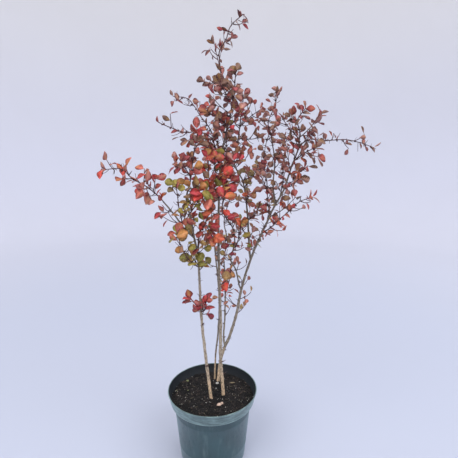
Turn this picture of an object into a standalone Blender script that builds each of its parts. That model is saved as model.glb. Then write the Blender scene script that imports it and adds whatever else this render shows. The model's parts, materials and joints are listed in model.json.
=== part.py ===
# Japanese barberry in its nursery pot, in autumn colour.
# Metres, +Z up, the origin at the centre of the pot's flat underside. The photograph looks along +Y.
import math
import random

import bmesh
import bpy
from mathutils import Matrix, Vector
from mathutils.bvhtree import BVHTree

MM = 0.001
GAP = 0.3 * MM
OBJECT = "japanese_barberry"

# A two litre nursery pot: tapering wall, collar under the rim, holes round the floor.
POT_HEIGHT = 0.133
RIM_RADIUS = 0.085
RIM_ROUND = 0.0008
COLLAR_HEIGHT = 0.022
COLLAR_FOOT_RADIUS = 0.080
BODY_TOP_RADIUS = 0.0735
BODY_FOOT_RADIUS = 0.0625
POT_WALL = 0.0019
POT_FLOOR = 0.0025
POT_SIDES = 32
DRAIN_HOLES = 8
DRAIN_RADIUS = 0.0045
DRAIN_RING = 0.048
DRAIN_SIDES = 8
MERGE = 0.0001

# The compost stops this far under the rim.
SOIL_DROP = 0.016
SOIL_TOP = POT_HEIGHT - SOIL_DROP

# Canes and boughs: parent, share of the parent's length, points passed up to the tip in
# millimetres, radius at the root and at the tip. A cane without a parent starts on the soil.
LIMBS = {
    "cane_left": (None, 0, [
        (-2, -14, 117), (-11, -18, 200), (-18, -24, 290), (-20, -29, 357), (-22, -32, 399),
        (-27, -35, 431), (-31, -44, 465), (-37, -52, 497), (-30, -58, 527), (-25, -64, 555)], 3.3, 1.1),
    "cane_centre": (None, 0, [
        (21, -2, 117), (16, -4, 193), (16, -6, 264), (14, -8, 351), (13, -8, 434), (14, -6, 488),
        (21, -2, 581), (28, 0, 615), (32, 2, 680), (23, 3, 688), (17, 4, 716), (16, 4, 727)], 3.6, 0.9),
    "cane_back": (None, 0, [
        (2, 50, 117), (4, 50, 169), (9, 53, 215), (12, 62, 285), (5, 78, 364), (-3, 95, 434)], 2.0, 1.2),
    "cane_right": (None, 0, [
        (9, 41, 117), (12, 43, 146), (17, 45, 174), (34, 46, 217), (46, 46, 259), (56, 45, 312),
        (70, 38, 366), (84, 28, 407), (99, 16, 446), (113, 4, 482), (127, -8, 511), (136, -18, 546),
        (147, -29, 587), (147, -32, 602)], 3.4, 1.1),
    "cane_thin": ("cane_right", 0.148, [
        (23, 50, 249), (24, 59, 296), (23, 70, 346), (21, 77, 369), (28, 85, 399), (22, 96, 433)], 1.7, 1.1),
    "bough_left_long": ("cane_left", 0.710, [(-45, -38, 450), (-60, -40, 472), (-77, -42, 494)], 1.5, 1.1),
    "bough_left_inner": ("cane_left", 0.660, [
        (-18, -30, 441), (-8, -27, 457), (-2, -23, 477), (-2, -16, 516)], 1.7, 1.1),
    "bough_middle": ("cane_right", 0.519, [
        (70, 42, 418), (68, 46, 451), (62, 50, 505), (58, 50, 525), (42, 50, 557), (43, 49, 575),
        (49, 44, 606), (53, 39, 639)], 1.9, 1.0),
    "bough_front": ("cane_right", 0.389, [
        (44, 28, 359), (36, 18, 377), (42, -10, 419), (39, -28, 445), (28, -46, 465)], 1.5, 1.0),
    "bough_right_tall": ("cane_right", 0.752, [(111, 14, 519), (114, 22, 560), (108, 28, 603)], 1.5, 0.9),
}
LIMB_STEP = 0.034
LIMB_SIDES = 6
FOOT_FLARE = 1.35
FOOT_FLARE_HEIGHT = 0.014

# Foliage masses: bough, share of its length, points the mass's stem passes up to its tip in
# millimetres, leaves, mean leaf length in millimetres, colour.
MASSES = {
    "left_tip": ("bough_left_long", 1, [
        (-103, -45, 518), (-126, -48, 532), (-137, -50, 544), (-171, -55, 545)], 16, 20, "crimson"),
    "left_column": ("cane_left", 0.590, [
        (-29, -45, 389), (-42, -57, 410), (-53, -59, 444)], 22, 23, "olive"),
    "left_side": ("bough_left_long", 0.326, [(-49, -55, 484), (-51, -66, 523)], 13, 19, "orange"),
    "left_spurs": ("cane_left", 0.950, [(-38, -76, 552), (-43, -90, 562)], 14, 19, "burgundy"),
    "left_top": ("cane_left", 1, [(-21, -70, 577), (-15, -74, 598)], 14, 19, "crimson"),
    "left_olive": ("cane_left", 0.810, [(-19, -60, 494), (-15, -68, 520)], 14, 21, "olive"),
    "left_inner_low": ("bough_left_inner", 0.264, [(-8, -45, 453), (6, -55, 435)], 12, 21, "orange"),
    "left_low": ("cane_left", 0.400, [(-11, -32, 301), (-8, -36, 320)], 7, 21, "crimson"),
    "heart_top": ("bough_left_inner", 1, [(-3, -14, 545), (-3, -20, 581)], 16, 19, "crimson"),
    "heart_front": ("bough_left_inner", 0.663, [(-4, -50, 493), (-10, -75, 509)], 11, 23, "crimson"),
    "heart_right": ("bough_left_inner", 0.846, [(10, -35, 519), (22, -50, 537)], 12, 21, "crimson"),
    "leader_tip": ("cane_centre", 1, [
        (15, 4, 736), (28, 3, 761), (33, 2, 776), (55, 0, 796)], 17, 17, "burgundy"),
    "leader_right": ("cane_centre", 0.860, [(40, -15, 674), (43, -30, 701)], 14, 17, "burgundy"),
    "leader_mid": ("cane_centre", 0.880, [(27, -18, 668), (17, -32, 680)], 13, 18, "burgundy"),
    "leader_left": ("cane_centre", 0.927, [(11, 20, 693), (-2, 40, 704)], 11, 17, "dusky"),
    "crown_left": ("cane_centre", 0.816, [(13, -20, 630), (-3, -38, 636)], 15, 18, "burgundy"),
    "crown_right": ("cane_centre", 0.800, [(40, -30, 623), (51, -45, 638)], 13, 17, "burgundy"),
    "upper_left_tip": ("cane_centre", 0.743, [
        (-4, 20, 620), (-22, 37, 645), (-43, 52, 674), (-73, 65, 682)], 16, 16, "dusky"),
    "shoulder_tip": ("cane_centre", 0.706, [
        (3, -20, 596), (-19, -42, 605), (-37, -55, 602), (-54, -64, 607), (-75, -72, 615)],
        14, 15, "burgundy"),
    "shoulder_low": ("cane_centre", 0.690, [(-10, -30, 586), (-30, -58, 592)], 14, 18, "crimson"),
    "crown_back": ("cane_centre", 0.731, [(26, 40, 589), (30, 75, 622)], 14, 18, "dusky"),
    "crown_front": ("cane_centre", 0.656, [(9, -35, 541), (10, -65, 566)], 13, 20, "crimson"),
    "middle_top": ("bough_middle", 1, [(56, 36, 657), (57, 30, 677)], 13, 17, "burgundy"),
    "middle_right": ("bough_middle", 0.938, [(71, 55, 643), (92, 65, 659)], 11, 16, "dusky"),
    "middle_twig": ("bough_middle", 0.856, [(78, 50, 603), (93, 52, 607)], 11, 16, "burgundy"),
    "middle_mid": ("bough_middle", 0.504, [(76, 66, 530), (92, 82, 560)], 14, 17, "orange"),
    "middle_front": ("bough_middle", 0.400, [(64, 28, 488), (66, 6, 503)], 13, 18, "olive"),
    "middle_low": ("bough_middle", 0.267, [(78, 30, 461), (86, 15, 479)], 13, 18, "crimson"),
    "middle_foot": ("bough_middle", 0.130, [(60, 25, 431), (50, 5, 453)], 10, 18, "orange"),
    "front_tip": ("bough_front", 1, [(21, -70, 485), (24, -90, 505)], 9, 19, "crimson"),
    "front_low": ("bough_front", 0.580, [(47, -20, 423), (52, -40, 456)], 11, 18, "orange"),
    "right_back_top": ("cane_right", 0.707, [
        (103, 26, 491), (103, 48, 528), (99, 66, 560), (103, 80, 592), (112, 92, 622)], 17, 17, "dusky"),
    "right_back_mid": ("cane_right", 0.785, [
        (128, 14, 520), (133, 44, 545), (137, 68, 572)], 14, 17, "burgundy"),
    "right_back_low": ("cane_right", 0.610, [(104, 42, 449), (111, 60, 484)], 12, 18, "orange"),
    "right_sprig": ("bough_right_tall", 1, [
        (102, 32, 627), (114, 37, 659), (120, 40, 687)], 15, 17, "burgundy"),
    "right_fork": ("bough_right_tall", 0.636, [(124, 8, 580), (134, -5, 604)], 13, 17, "dusky"),
    "right_inner": ("bough_right_tall", 0.221, [(95, -20, 516), (84, -40, 535)], 14, 17, "burgundy"),
    "right_top": ("cane_right", 1, [(142, -36, 624), (153, -42, 641)], 16, 17, "burgundy"),
    "right_crest": ("cane_right", 0.983, [(135, -5, 614), (122, 10, 637)], 13, 17, "burgundy"),
    "right_dusty": ("cane_right", 0.913, [(156, -40, 573), (170, -55, 580)], 13, 21, "dusky"),
    "right_side": ("cane_right", 0.867, [(147, -35, 541), (158, -50, 551)], 11, 18, "crimson"),
    "right_flank": ("cane_right", 0.820, [(136, -25, 518), (148, -40, 532)], 10, 17, "dusky"),
    "far_right_tip": ("cane_right", 0.963, [
        (165, -20, 595), (191, -8, 594), (237, 14, 598), (257, 22, 596), (297, 36, 586)], 14, 15, "dusky"),
    "right_low_tip": ("cane_right", 0.633, [
        (119, -4, 457), (136, -23, 477), (149, -34, 492), (169, -46, 501)], 16, 17, "crimson"),
    "back_top": ("cane_back", 1, [(-4, 108, 475), (4, 122, 522)], 13, 18, "orange"),
    "back_low": ("cane_back", 0.810, [(15, 85, 386), (30, 90, 410)], 11, 18, "olive"),
    "thin_top": ("cane_thin", 1, [(25, 108, 460), (38, 125, 499)], 12, 17, "dusky"),
    "thin_low": ("cane_thin", 0.421, [(32, 50, 329), (36, 40, 370)], 10, 18, "orange"),
}

# Twigs are three-sided and taper. Leaves sit in rosettes, each turned on by the golden angle.
# A blade faces out from the crown's axis and up, and the larger it is, the rounder.
SEED = 11
GOLDEN = math.radians(137.5)
STEM_STEP = 0.024
STEM_RADII = (1.0 * MM, 0.6 * MM)
TWIG_RADII = (0.75 * MM, 0.5 * MM)
NODE_STEP = 0.013
TWIG_LENGTH = (0.013, 0.025)
TWIG_LEAN = (38, 65)
TWIG_LIFT = 0.12
TWIG_FREE = 0.25
LEAF_LEAN = (35, 90)
LEAF_UP = 0.45
LEAF_SCATTER = 0.6
CROWN_AXIS = Vector((0.03, 0.01, 0))
LEAF_SPREAD = (0.75, 1.2)
LEAF_WIDTH = 0.78
LEAF_ROUNDING = 20
LEAF_TYPICAL = 17 * MM
LEAF_WIDEST = 0.58
LEAF_THICKNESS = 0.7 * MM
LEAF_SINK = 0.2 * MM
TIP_LEAF, SIDE_LEAF = 1.0, 0.88
LEAVES_AT_NODE = 5
CLEAR = 0.4 * MM
CLEAR_FROM = 0.35
TRIES = 9

COLOURS = {
    "pot": (0.055, 0.085, 0.09), "soil": (0.018, 0.013, 0.010), "bark": (0.30, 0.22, 0.13),
    "crimson": (0.36, 0.035, 0.035), "orange": (0.42, 0.11, 0.035), "burgundy": (0.15, 0.03, 0.035),
    "dusky": (0.24, 0.085, 0.07), "olive": (0.20, 0.19, 0.03),
}
ROUGHNESS = {"pot": 0.5, "soil": 0.95, "bark": 0.75}
LEAF_ROUGHNESS = 0.6


def clear_scene():
    for obj in list(bpy.data.objects):
        bpy.data.objects.remove(obj)


def new_collection(name):
    made = bpy.data.collections.new(name)
    bpy.context.scene.collection.children.link(made)
    return made


def material(name):
    found = bpy.data.materials.get(name)
    if found:
        return found
    made = bpy.data.materials.new(name)
    made.use_nodes = True
    shader = made.node_tree.nodes["Principled BSDF"]
    shader.inputs["Base Color"].default_value = (*COLOURS[name], 1)
    shader.inputs["Roughness"].default_value = ROUGHNESS.get(name, LEAF_ROUGHNESS)
    return made


def add_object(name, shape, collection, paint):
    mesh = bpy.data.meshes.new(name)
    points, faces = shape
    mesh.from_pydata(points, [], faces)
    mesh.materials.append(material(paint))
    obj = bpy.data.objects.new(name, mesh)
    collection.objects.link(obj)
    return obj


# Pot and compost: profiles turned about the axis
def add_turned(name, profile, collection):
    """A profile of (radius, height) points that runs down its outer side, turned about the axis."""
    mesh = bpy.data.meshes.new(name)
    points = [(radius, 0, height) for radius, height in profile]
    mesh.from_pydata(points, [(k, k + 1) for k in range(len(points) - 1)], [])
    mesh.materials.append(material(name))
    obj = bpy.data.objects.new(name, mesh)
    collection.objects.link(obj)
    screw = obj.modifiers.new("turn", "SCREW")
    screw.steps = POT_SIDES
    screw.render_steps = POT_SIDES
    screw.use_merge_vertices = True
    screw.merge_threshold = MERGE
    return obj


def wall_radius(height):
    """The pot's inner radius at this height."""
    if height > POT_HEIGHT - COLLAR_HEIGHT:
        share = (POT_HEIGHT - height) / COLLAR_HEIGHT
        return RIM_RADIUS + share * (COLLAR_FOOT_RADIUS - RIM_RADIUS) - POT_WALL
    share = height / (POT_HEIGHT - COLLAR_HEIGHT)
    return BODY_FOOT_RADIUS + share * (BODY_TOP_RADIUS - BODY_FOOT_RADIUS) - POT_WALL


def build_pot(collection, cutters):
    ledge = POT_HEIGHT - COLLAR_HEIGHT
    pot = add_turned("pot", [
        (0, POT_FLOOR), (wall_radius(POT_FLOOR), POT_FLOOR),
        (wall_radius(ledge - POT_WALL), ledge - POT_WALL),
        (wall_radius(ledge + POT_WALL), ledge + POT_WALL),
        (wall_radius(POT_HEIGHT), POT_HEIGHT), (RIM_RADIUS - RIM_ROUND, POT_HEIGHT),
        (RIM_RADIUS, POT_HEIGHT - RIM_ROUND), (COLLAR_FOOT_RADIUS, ledge + RIM_ROUND),
        (COLLAR_FOOT_RADIUS - RIM_ROUND, ledge), (BODY_TOP_RADIUS, ledge - RIM_ROUND),
        (BODY_FOOT_RADIUS, RIM_ROUND), (BODY_FOOT_RADIUS - RIM_ROUND, 0), (0, 0),
    ], collection)
    for k in range(DRAIN_HOLES):
        turn = 2 * math.pi * (k + 0.5) / DRAIN_HOLES
        place = Vector((DRAIN_RING * math.cos(turn), DRAIN_RING * math.sin(turn), POT_FLOOR / 2))
        shape = bmesh.new()
        bmesh.ops.create_cone(
            shape, cap_ends=True, segments=DRAIN_SIDES, radius1=DRAIN_RADIUS, radius2=DRAIN_RADIUS,
            depth=4 * POT_FLOOR, matrix=Matrix.Translation(place))
        mesh = bpy.data.meshes.new(f"drain_{k}")
        shape.to_mesh(mesh)
        shape.free()
        cutter = bpy.data.objects.new(f"drain_{k}", mesh)
        cutter.hide_render = True
        cutter.display_type = "WIRE"
        cutters.objects.link(cutter)
    cut = pot.modifiers.new("drain_holes", "BOOLEAN")
    cut.operation = "DIFFERENCE"
    cut.operand_type = "COLLECTION"
    cut.collection = cutters
    cut.solver = "EXACT"


def build_soil(collection):
    ledge = POT_HEIGHT - COLLAR_HEIGHT
    add_turned("soil", [
        (0, SOIL_TOP), (wall_radius(SOIL_TOP) - GAP, SOIL_TOP),
        (wall_radius(ledge + POT_WALL) - GAP, ledge + POT_WALL + GAP),
        (wall_radius(ledge - POT_WALL) - GAP, ledge - POT_WALL + GAP),
        (wall_radius(POT_FLOOR) - GAP, POT_FLOOR + GAP), (0, POT_FLOOR + GAP),
    ], collection)


# Paths: smooth lines through named points
def smooth_path(points, first_way, step):
    """Points about a step apart on a smooth line that sets off along first_way."""
    ways = []
    for k, point in enumerate(points):
        if k == 0:
            ways.append(first_way)
        elif k == len(points) - 1:
            ways.append((point - points[k - 1]).normalized())
        else:
            before, after = point - points[k - 1], points[k + 1] - point
            mixed = before.normalized() * after.length + after.normalized() * before.length
            ways.append(mixed / (before.length + after.length))
    path = [points[0]]
    for k in range(len(points) - 1):
        span = (points[k + 1] - points[k]).length
        pieces = max(1, round(span / step))
        for piece in range(1, pieces + 1):
            s = piece / pieces
            path.append(
                (2 * s**3 - 3 * s**2 + 1) * points[k] + (s**3 - 2 * s**2 + s) * span * ways[k]
                + (3 * s**2 - 2 * s**3) * points[k + 1] + (s**3 - s**2) * span * ways[k + 1])
    return path


def lengths_along(path):
    total = [0.0]
    for a, b in zip(path, path[1:]):
        total.append(total[-1] + (b - a).length)
    return total


def place_on(limb, share):
    """Point, direction and radius at a share of a limb's length."""
    path, radii = limb
    along = lengths_along(path)
    want = share * along[-1]
    k = next(k for k in range(len(path) - 1) if along[k + 1] >= want - 1e-9)
    mix = (want - along[k]) / (along[k + 1] - along[k])
    way = (path[k + 1] - path[k]).normalized()
    return path[k].lerp(path[k + 1], mix), way, radii[k] + mix * (radii[k + 1] - radii[k])


def path_from(parent, share, points, step):
    """A path that starts just clear of the parent's surface, and the plane its end lies in."""
    start, along, radius = place_on(parent, share)
    toward = points[0] - start
    if share == 1:
        first = start + along * GAP
        return smooth_path([first, *points], (along + toward.normalized()).normalized(), step), along
    out = (toward - toward.dot(along) * along).normalized()
    way = (0.5 * along + 0.6 * out + 0.8 * toward.normalized()).normalized()
    if way.dot(out) < 0.5:
        way = (way + 0.5 * out).normalized()
    first = start + way * (radius + GAP) / way.dot(out)
    return smooth_path([first, *points], way, step), out


# Wood and leaves: closed shapes as (points, faces)
def tube(path, radii, sides, plane):
    """A tapering tube whose foot is cut at a slant, flush with what carries it, unlike a bevelled curve's."""
    points, faces = [], []
    side = None
    for k, centre in enumerate(path):
        before = path[max(k - 1, 0)]
        after = path[min(k + 1, len(path) - 1)]
        way = (after - before).normalized()
        side = (side or way.orthogonal()) - (side or way.orthogonal()).dot(way) * way
        side.normalize()
        across = way.cross(side)
        for n in range(sides):
            turn = 2 * math.pi * n / sides
            point = centre + radii[k] * (math.cos(turn) * side + math.sin(turn) * across)
            if k == 0:
                point -= way * (point - centre).dot(plane) / way.dot(plane)
            points.append(point)
    for k in range(len(path) - 1):
        for n in range(sides):
            a, b = k * sides + n, k * sides + (n + 1) % sides
            faces.append((a, b, b + sides, a + sides))
    faces.append(tuple(reversed(range(sides))))
    faces.append(tuple(range(len(points) - sides, len(points))))
    return points, faces


def leaf(root, way, normal, length, grown=0, begin=0):
    """A blade, domed above and flat below. Grown by a margin, or begun further out, it tests for room."""
    across = way.cross(normal)
    middle = root + way * length * LEAF_WIDEST - normal * grown
    half = length / 2 * (LEAF_WIDTH + LEAF_ROUNDING * (length - LEAF_TYPICAL)) + grown
    start = length * begin if begin else -LEAF_SINK
    points = [
        root + way * start - normal * grown, middle + across * half,
        root + way * (length + grown) - normal * grown, middle - across * half,
        middle + normal * (LEAF_THICKNESS + 2 * grown),
    ]
    return points, [(0, 1, 4), (1, 2, 4), (2, 3, 4), (3, 0, 4), (3, 2, 1, 0)]


def tree_of(shapes):
    points, faces = [], []
    for shape_points, shape_faces in shapes:
        base = len(points)
        points.extend(shape_points)
        faces.extend(tuple(base + k for k in face) for face in shape_faces)
    return BVHTree.FromPolygons(points, faces)


def free_of(shape, trees):
    mine = tree_of([shape])
    return not any(mine.overlap(tree) for tree in trees)


# Limbs
def build_limbs(collection):
    limbs, shapes = {}, []
    for name, (parent, share, passed, root_radius, tip_radius) in LIMBS.items():
        points = [Vector(point) * MM for point in passed]
        if parent:
            path, plane = path_from(limbs[parent], share, points, LIMB_STEP)
        else:
            points[0].z = SOIL_TOP + GAP
            way = (points[1] - points[0]).normalized()
            above = points[0] + way * FOOT_FLARE_HEIGHT
            path = smooth_path([above, *points[1:]], way, LIMB_STEP)
            path.insert(0, points[0])
            plane = Vector((0, 0, 1))
        along = lengths_along(path)
        radii = [MM * (root_radius + (tip_radius - root_radius) * s / along[-1]) for s in along]
        if not parent:
            radii[0] *= FOOT_FLARE
        limbs[name] = (path, radii)
        shapes.append(tube(path, radii, LIMB_SIDES, plane))
        add_object(name, shapes[-1], collection, "bark")
    return limbs, shapes


# Foliage
def stem_of(limbs, name):
    bough, share, passed = MASSES[name][:3]
    path, plane = path_from(limbs[bough], share, [Vector(p) * MM for p in passed], STEM_STEP)
    along = lengths_along(path)
    radii = [STEM_RADII[0] + (STEM_RADII[1] - STEM_RADII[0]) * s / along[-1] for s in along]
    return (path, radii), tube(path, radii, 3, plane)


def turned_about(way, lean, turn):
    """A direction leaning off way by an angle, at a turn round it."""
    side = way.orthogonal().normalized()
    side.rotate(Matrix.Rotation(turn, 3, way))
    return (way * math.cos(lean) + side * math.sin(lean)).normalized()


class Mass:
    """One spray: twigs and leaves grown on a stem, kept clear of everything else."""

    def __init__(self, name, number, stem, stem_shape, others):
        self.leaves_wanted, self.leaf_length = MASSES[name][3], MASSES[name][4] * MM
        self.random = random.Random(SEED * 1000 + number)
        self.others = others
        self.stem = stem
        self.wood, self.leaves = [stem_shape], []
        self.outer = [stem_shape]
        self.turn = self.random.uniform(0, 2 * math.pi)

    def add_leaf(self, root, axis, size):
        for _ in range(TRIES):
            self.turn += GOLDEN
            way = turned_about(axis, math.radians(self.random.uniform(*LEAF_LEAN)), self.turn)
            out = ((root - CROWN_AXIS) * Vector((1, 1, 0))).normalized()
            toss = Vector([self.random.uniform(-LEAF_SCATTER, LEAF_SCATTER) for _ in range(3)])
            normal = out + Vector((0, 0, LEAF_UP)) + toss
            normal = (normal - normal.dot(way) * way).normalized()
            length = self.leaf_length * size * self.random.uniform(*LEAF_SPREAD)
            place = (root, way, normal, length)
            if free_of(leaf(*place, CLEAR), self.others) and free_of(
                    leaf(*place, CLEAR, CLEAR_FROM), [tree_of(self.outer)]):
                self.leaves.append(leaf(*place))
                self.outer.append(leaf(*place, 0, CLEAR_FROM))
                return True
        return False

    def add_twig(self, root, axis):
        """A short twig, and the places on it where leaves can sit."""
        for _ in range(TRIES):
            self.turn += GOLDEN
            way = turned_about(axis, math.radians(self.random.uniform(*TWIG_LEAN)), self.turn)
            way = (way + Vector((0, 0, TWIG_LIFT))).normalized()
            length = self.random.uniform(*TWIG_LENGTH)
            tip = root + way * length
            test = tube([root + way * length * TWIG_FREE, tip], [TWIG_RADII[0] + CLEAR] * 2, 3, way)
            if free_of(test, [*self.others, tree_of(self.outer)]):
                self.wood.append(tube([root, tip], TWIG_RADII, 3, way))
                self.outer.append(test)
                return [(tip - way * MM / 2, way, TIP_LEAF), (root.lerp(tip, 0.5), way, SIDE_LEAF)]
        return []

    def grow(self):
        nodes = max(2, round(lengths_along(self.stem[0])[-1] / NODE_STEP))
        tip, way, _ = place_on(self.stem, 1)
        places = [(tip - way * MM, way, TIP_LEAF)]
        for k in range(nodes):
            root, way, _ = place_on(self.stem, 1 - (k + 0.6) / nodes)
            places += self.add_twig(root, way) if k % 2 else [(root, way, SIDE_LEAF)]
        for _ in range(LEAVES_AT_NODE):
            for place in list(places):
                if len(self.leaves) < self.leaves_wanted and not self.add_leaf(*place):
                    places.remove(place)
        return self.wood + self.leaves


def join_mass(name, shapes, collection, paint):
    """One body from overlapping closed shapes."""
    helpers = new_collection(f"{name}_pieces")
    for k, shape in enumerate(shapes[1:]):
        add_object(f"{name}_piece_{k}", shape, helpers, paint)
    first = add_object(f"{name}_first", shapes[0], collection, paint)
    union = first.modifiers.new("union", "BOOLEAN")
    union.operation = "UNION"
    union.operand_type = "COLLECTION"
    union.collection = helpers
    union.solver = "MANIFOLD"
    graph = bpy.context.evaluated_depsgraph_get()
    mesh = bpy.data.meshes.new_from_object(first.evaluated_get(graph))
    for obj in [first, *helpers.objects]:
        bpy.data.objects.remove(obj)
    bpy.data.collections.remove(helpers)
    mesh.name = name
    obj = bpy.data.objects.new(name, mesh)
    collection.objects.link(obj)


def build_foliage(collection, limbs, limb_shapes):
    stems = {name: stem_of(limbs, name) for name in MASSES}
    done = []
    for number, name in enumerate(MASSES):
        stem, stem_shape = stems[name]
        other_stems = [shape for other, (_, shape) in stems.items() if other != name]
        mass = Mass(name, number, stem, stem_shape, [tree_of(limb_shapes + other_stems + done)])
        shapes = mass.grow()
        done.extend(shapes)
        print(name, len(mass.leaves), "of", mass.leaves_wanted, "leaves", len(mass.wood) - 1, "twigs")
        join_mass(f"foliage_{name}", shapes, collection, MASSES[name][5])


def main():
    clear_scene()
    collection = new_collection(OBJECT)
    cutters = new_collection("cutters")
    cutters.hide_render = True
    build_pot(collection, cutters)
    build_soil(collection)
    limbs, limb_shapes = build_limbs(collection)
    build_foliage(collection, limbs, limb_shapes)


main()
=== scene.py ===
# %% [markdown]
# A young Japanese barberry in its nursery pot, in autumn colour: five thin canes rise from the compost,
# fork into boughs, and carry short twigs with rosettes of small rounded leaves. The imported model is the
# frame that all of it grows on. It comes first, because every later cell measures from its nodes. Blender
# takes the seed of its noise vectors from the clock, so it is set once here, and every run is alike.

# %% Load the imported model
import json
import math
import random

import bmesh
import bpy
from mathutils import Matrix, Vector, noise
from mathutils.bvhtree import BVHTree

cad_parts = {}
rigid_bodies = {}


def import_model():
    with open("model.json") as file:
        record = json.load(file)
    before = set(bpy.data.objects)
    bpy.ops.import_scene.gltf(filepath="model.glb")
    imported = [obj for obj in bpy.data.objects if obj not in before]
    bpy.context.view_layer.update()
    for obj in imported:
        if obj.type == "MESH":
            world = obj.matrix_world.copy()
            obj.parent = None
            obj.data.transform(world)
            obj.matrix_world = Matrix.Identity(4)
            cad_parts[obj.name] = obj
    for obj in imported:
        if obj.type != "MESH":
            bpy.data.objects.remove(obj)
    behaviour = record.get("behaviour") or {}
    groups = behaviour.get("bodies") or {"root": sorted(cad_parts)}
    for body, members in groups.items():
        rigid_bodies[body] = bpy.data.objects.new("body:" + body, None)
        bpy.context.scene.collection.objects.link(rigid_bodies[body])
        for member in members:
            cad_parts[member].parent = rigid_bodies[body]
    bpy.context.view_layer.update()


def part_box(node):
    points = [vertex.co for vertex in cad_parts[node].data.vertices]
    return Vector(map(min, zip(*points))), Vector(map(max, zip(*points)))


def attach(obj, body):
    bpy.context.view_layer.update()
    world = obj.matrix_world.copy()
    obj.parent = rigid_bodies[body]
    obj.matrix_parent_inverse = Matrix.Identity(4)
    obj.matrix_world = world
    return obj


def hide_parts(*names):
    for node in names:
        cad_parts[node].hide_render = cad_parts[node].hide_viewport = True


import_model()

MM = 0.001
NOISE_SEED = 11
noise.seed_set(NOISE_SEED)
scene = bpy.context.scene

# %% [markdown]
# Node trees can be wired by hand, one link at a time, or written the way a sum is written on paper. A Wire
# wraps one output socket and knows the signs + - * and /, so 1 - mask adds a Math node. Colours are never
# summed so, because a Math node turns them grey.


# %% Wires
class Wire:
    """One output socket, which takes part in Python sums."""

    def __init__(self, graph, socket):
        self.graph, self.socket = graph, socket

    def __add__(self, other):
        return self.graph.math("ADD", self, other)

    def __sub__(self, other):
        return self.graph.math("SUBTRACT", self, other)

    def __rsub__(self, other):
        return self.graph.math("SUBTRACT", other, self)

    def __mul__(self, other):
        return self.graph.math("MULTIPLY", self, other)

    def __truediv__(self, other):
        return self.graph.math("DIVIDE", self, other)

    __radd__ = __add__
    __rmul__ = __mul__

    def between(self, low, high):
        """0 below low, 1 above high, and a smooth step from one to the other."""
        return self.graph.add(
            "ShaderNodeMapRange", {"interpolation_type": "SMOOTHSTEP"},
            {"Value": self, "From Min": low, "From Max": high})


# %% [markdown]
# A Graph holds a node tree, of a material or of geometry. Its add method makes any node, and the short
# methods after it are what most finishes ask for.


# %% Graphs
class Graph:
    """A shader or geometry node tree that is written as Python."""

    def __init__(self, tree):
        self.tree = tree

    def add(self, kind, settings=None, sockets=None, out=0):
        """Makes a node, sets it up, fills its sockets, and returns one of its outputs as a Wire."""
        node = self.tree.nodes.new(kind)
        for name, value in (settings or {}).items():
            setattr(node, name, value)
        for key, value in (sockets or {}).items():
            if isinstance(value, Wire):
                self.tree.links.new(value.socket, node.inputs[key])
            else:
                node.inputs[key].default_value = value
        return Wire(self, node.outputs[out]) if node.outputs else node

    def math(self, operation, first, second=0.0):
        return self.add("ShaderNodeMath", {"operation": operation}, {0: first, 1: second})

    def mix(self, share, first, second):
        """A colour between two others."""
        colours = {6: first, 7: second}
        filled = {k: v if isinstance(v, Wire) else (*v, 1) for k, v in colours.items()}
        return self.add("ShaderNodeMix", {"data_type": "RGBA"}, {0: share, **filled}, out=2)

    def stretched(self, vector, factors):
        return self.add("ShaderNodeVectorMath", {"operation": "MULTIPLY"}, {0: vector, 1: factors})

    def place(self):
        return self.add("ShaderNodeTexCoord", out="Object")

    def height(self):
        return self.add("ShaderNodeSeparateXYZ", sockets={0: self.place()}, out="Z")

    def noise(self, size, detail=2.0, stretch=(1, 1, 1), roughness=0.5):
        """Soft noise from 0 to 1, whose patches are about size metres across."""
        factors = tuple(s / size for s in stretch)
        return self.add("ShaderNodeTexNoise", sockets={
            "Vector": self.stretched(self.place(), factors), "Scale": 1.0,
            "Detail": detail, "Roughness": roughness})


# %% [markdown]
# Every finish starts from the Principled shader. A wire goes to a socket where the finish changes over the
# surface, and a plain number or colour where it doesn't. Colours are picked as a screen shows them and
# turned into the linear light that a shader works with.


# %% Materials and colours
def new_material(name):
    made = bpy.data.materials.new(name)
    made.use_nodes = True
    return made, Graph(made.node_tree), made.node_tree.nodes["Principled BSDF"]


def connect(graph, shader, **sockets):
    """Fills the shader's sockets: a Wire is linked, and a number or a colour is set on the socket."""
    for name, value in sockets.items():
        socket = shader.inputs[name.replace("_", " ")]
        if isinstance(value, Wire):
            graph.tree.links.new(value.socket, socket)
        elif isinstance(value, tuple):
            socket.default_value = (*value, 1)
        else:
            socket.default_value = value


def bumped(graph, height, distance, strength=1.0):
    """A normal from a height that varies by distance metres."""
    return graph.add("ShaderNodeBump", sockets={
        "Height": height, "Distance": distance, "Strength": strength})


def srgb(red, green, blue):
    """A linear colour from the 0 to 255 numbers that a colour picker shows."""
    parts = [value / 255 for value in (red, green, blue)]
    return tuple(v / 12.92 if v <= 0.04045 else ((v + 0.055) / 1.055) ** 2.4 for v in parts)


print("a screen's middle grey, 128, is", round(srgb(128, 128, 128)[0], 3), "in linear light")

# %% [markdown]
# Geometry Nodes make everything that repeats: bark along a line, leaves on their points, crumbs on the
# compost. A recipe is a tree with named inputs, so that one tree can be used again with other sizes, and
# it always ends in Realize Instances and Set Material.


# %% Recipes for Geometry Nodes
def recipe(name, **named):
    """A geometry tree with named inputs, each (socket type, value): its Graph and the inputs' Wires."""
    tree = bpy.data.node_groups.new(name, "GeometryNodeTree")
    tree.interface.new_socket(name="Geometry", in_out="INPUT", socket_type="NodeSocketGeometry")
    tree.interface.new_socket(name="Geometry", in_out="OUTPUT", socket_type="NodeSocketGeometry")
    for label, (kind, value) in named.items():
        socket = tree.interface.new_socket(name=label, in_out="INPUT", socket_type=kind)
        if value is not None:
            socket.default_value = value
    graph = Graph(tree)
    outputs = tree.nodes.new("NodeGroupInput").outputs
    return graph, {socket.name: Wire(graph, socket) for socket in outputs if socket.name}


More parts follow.
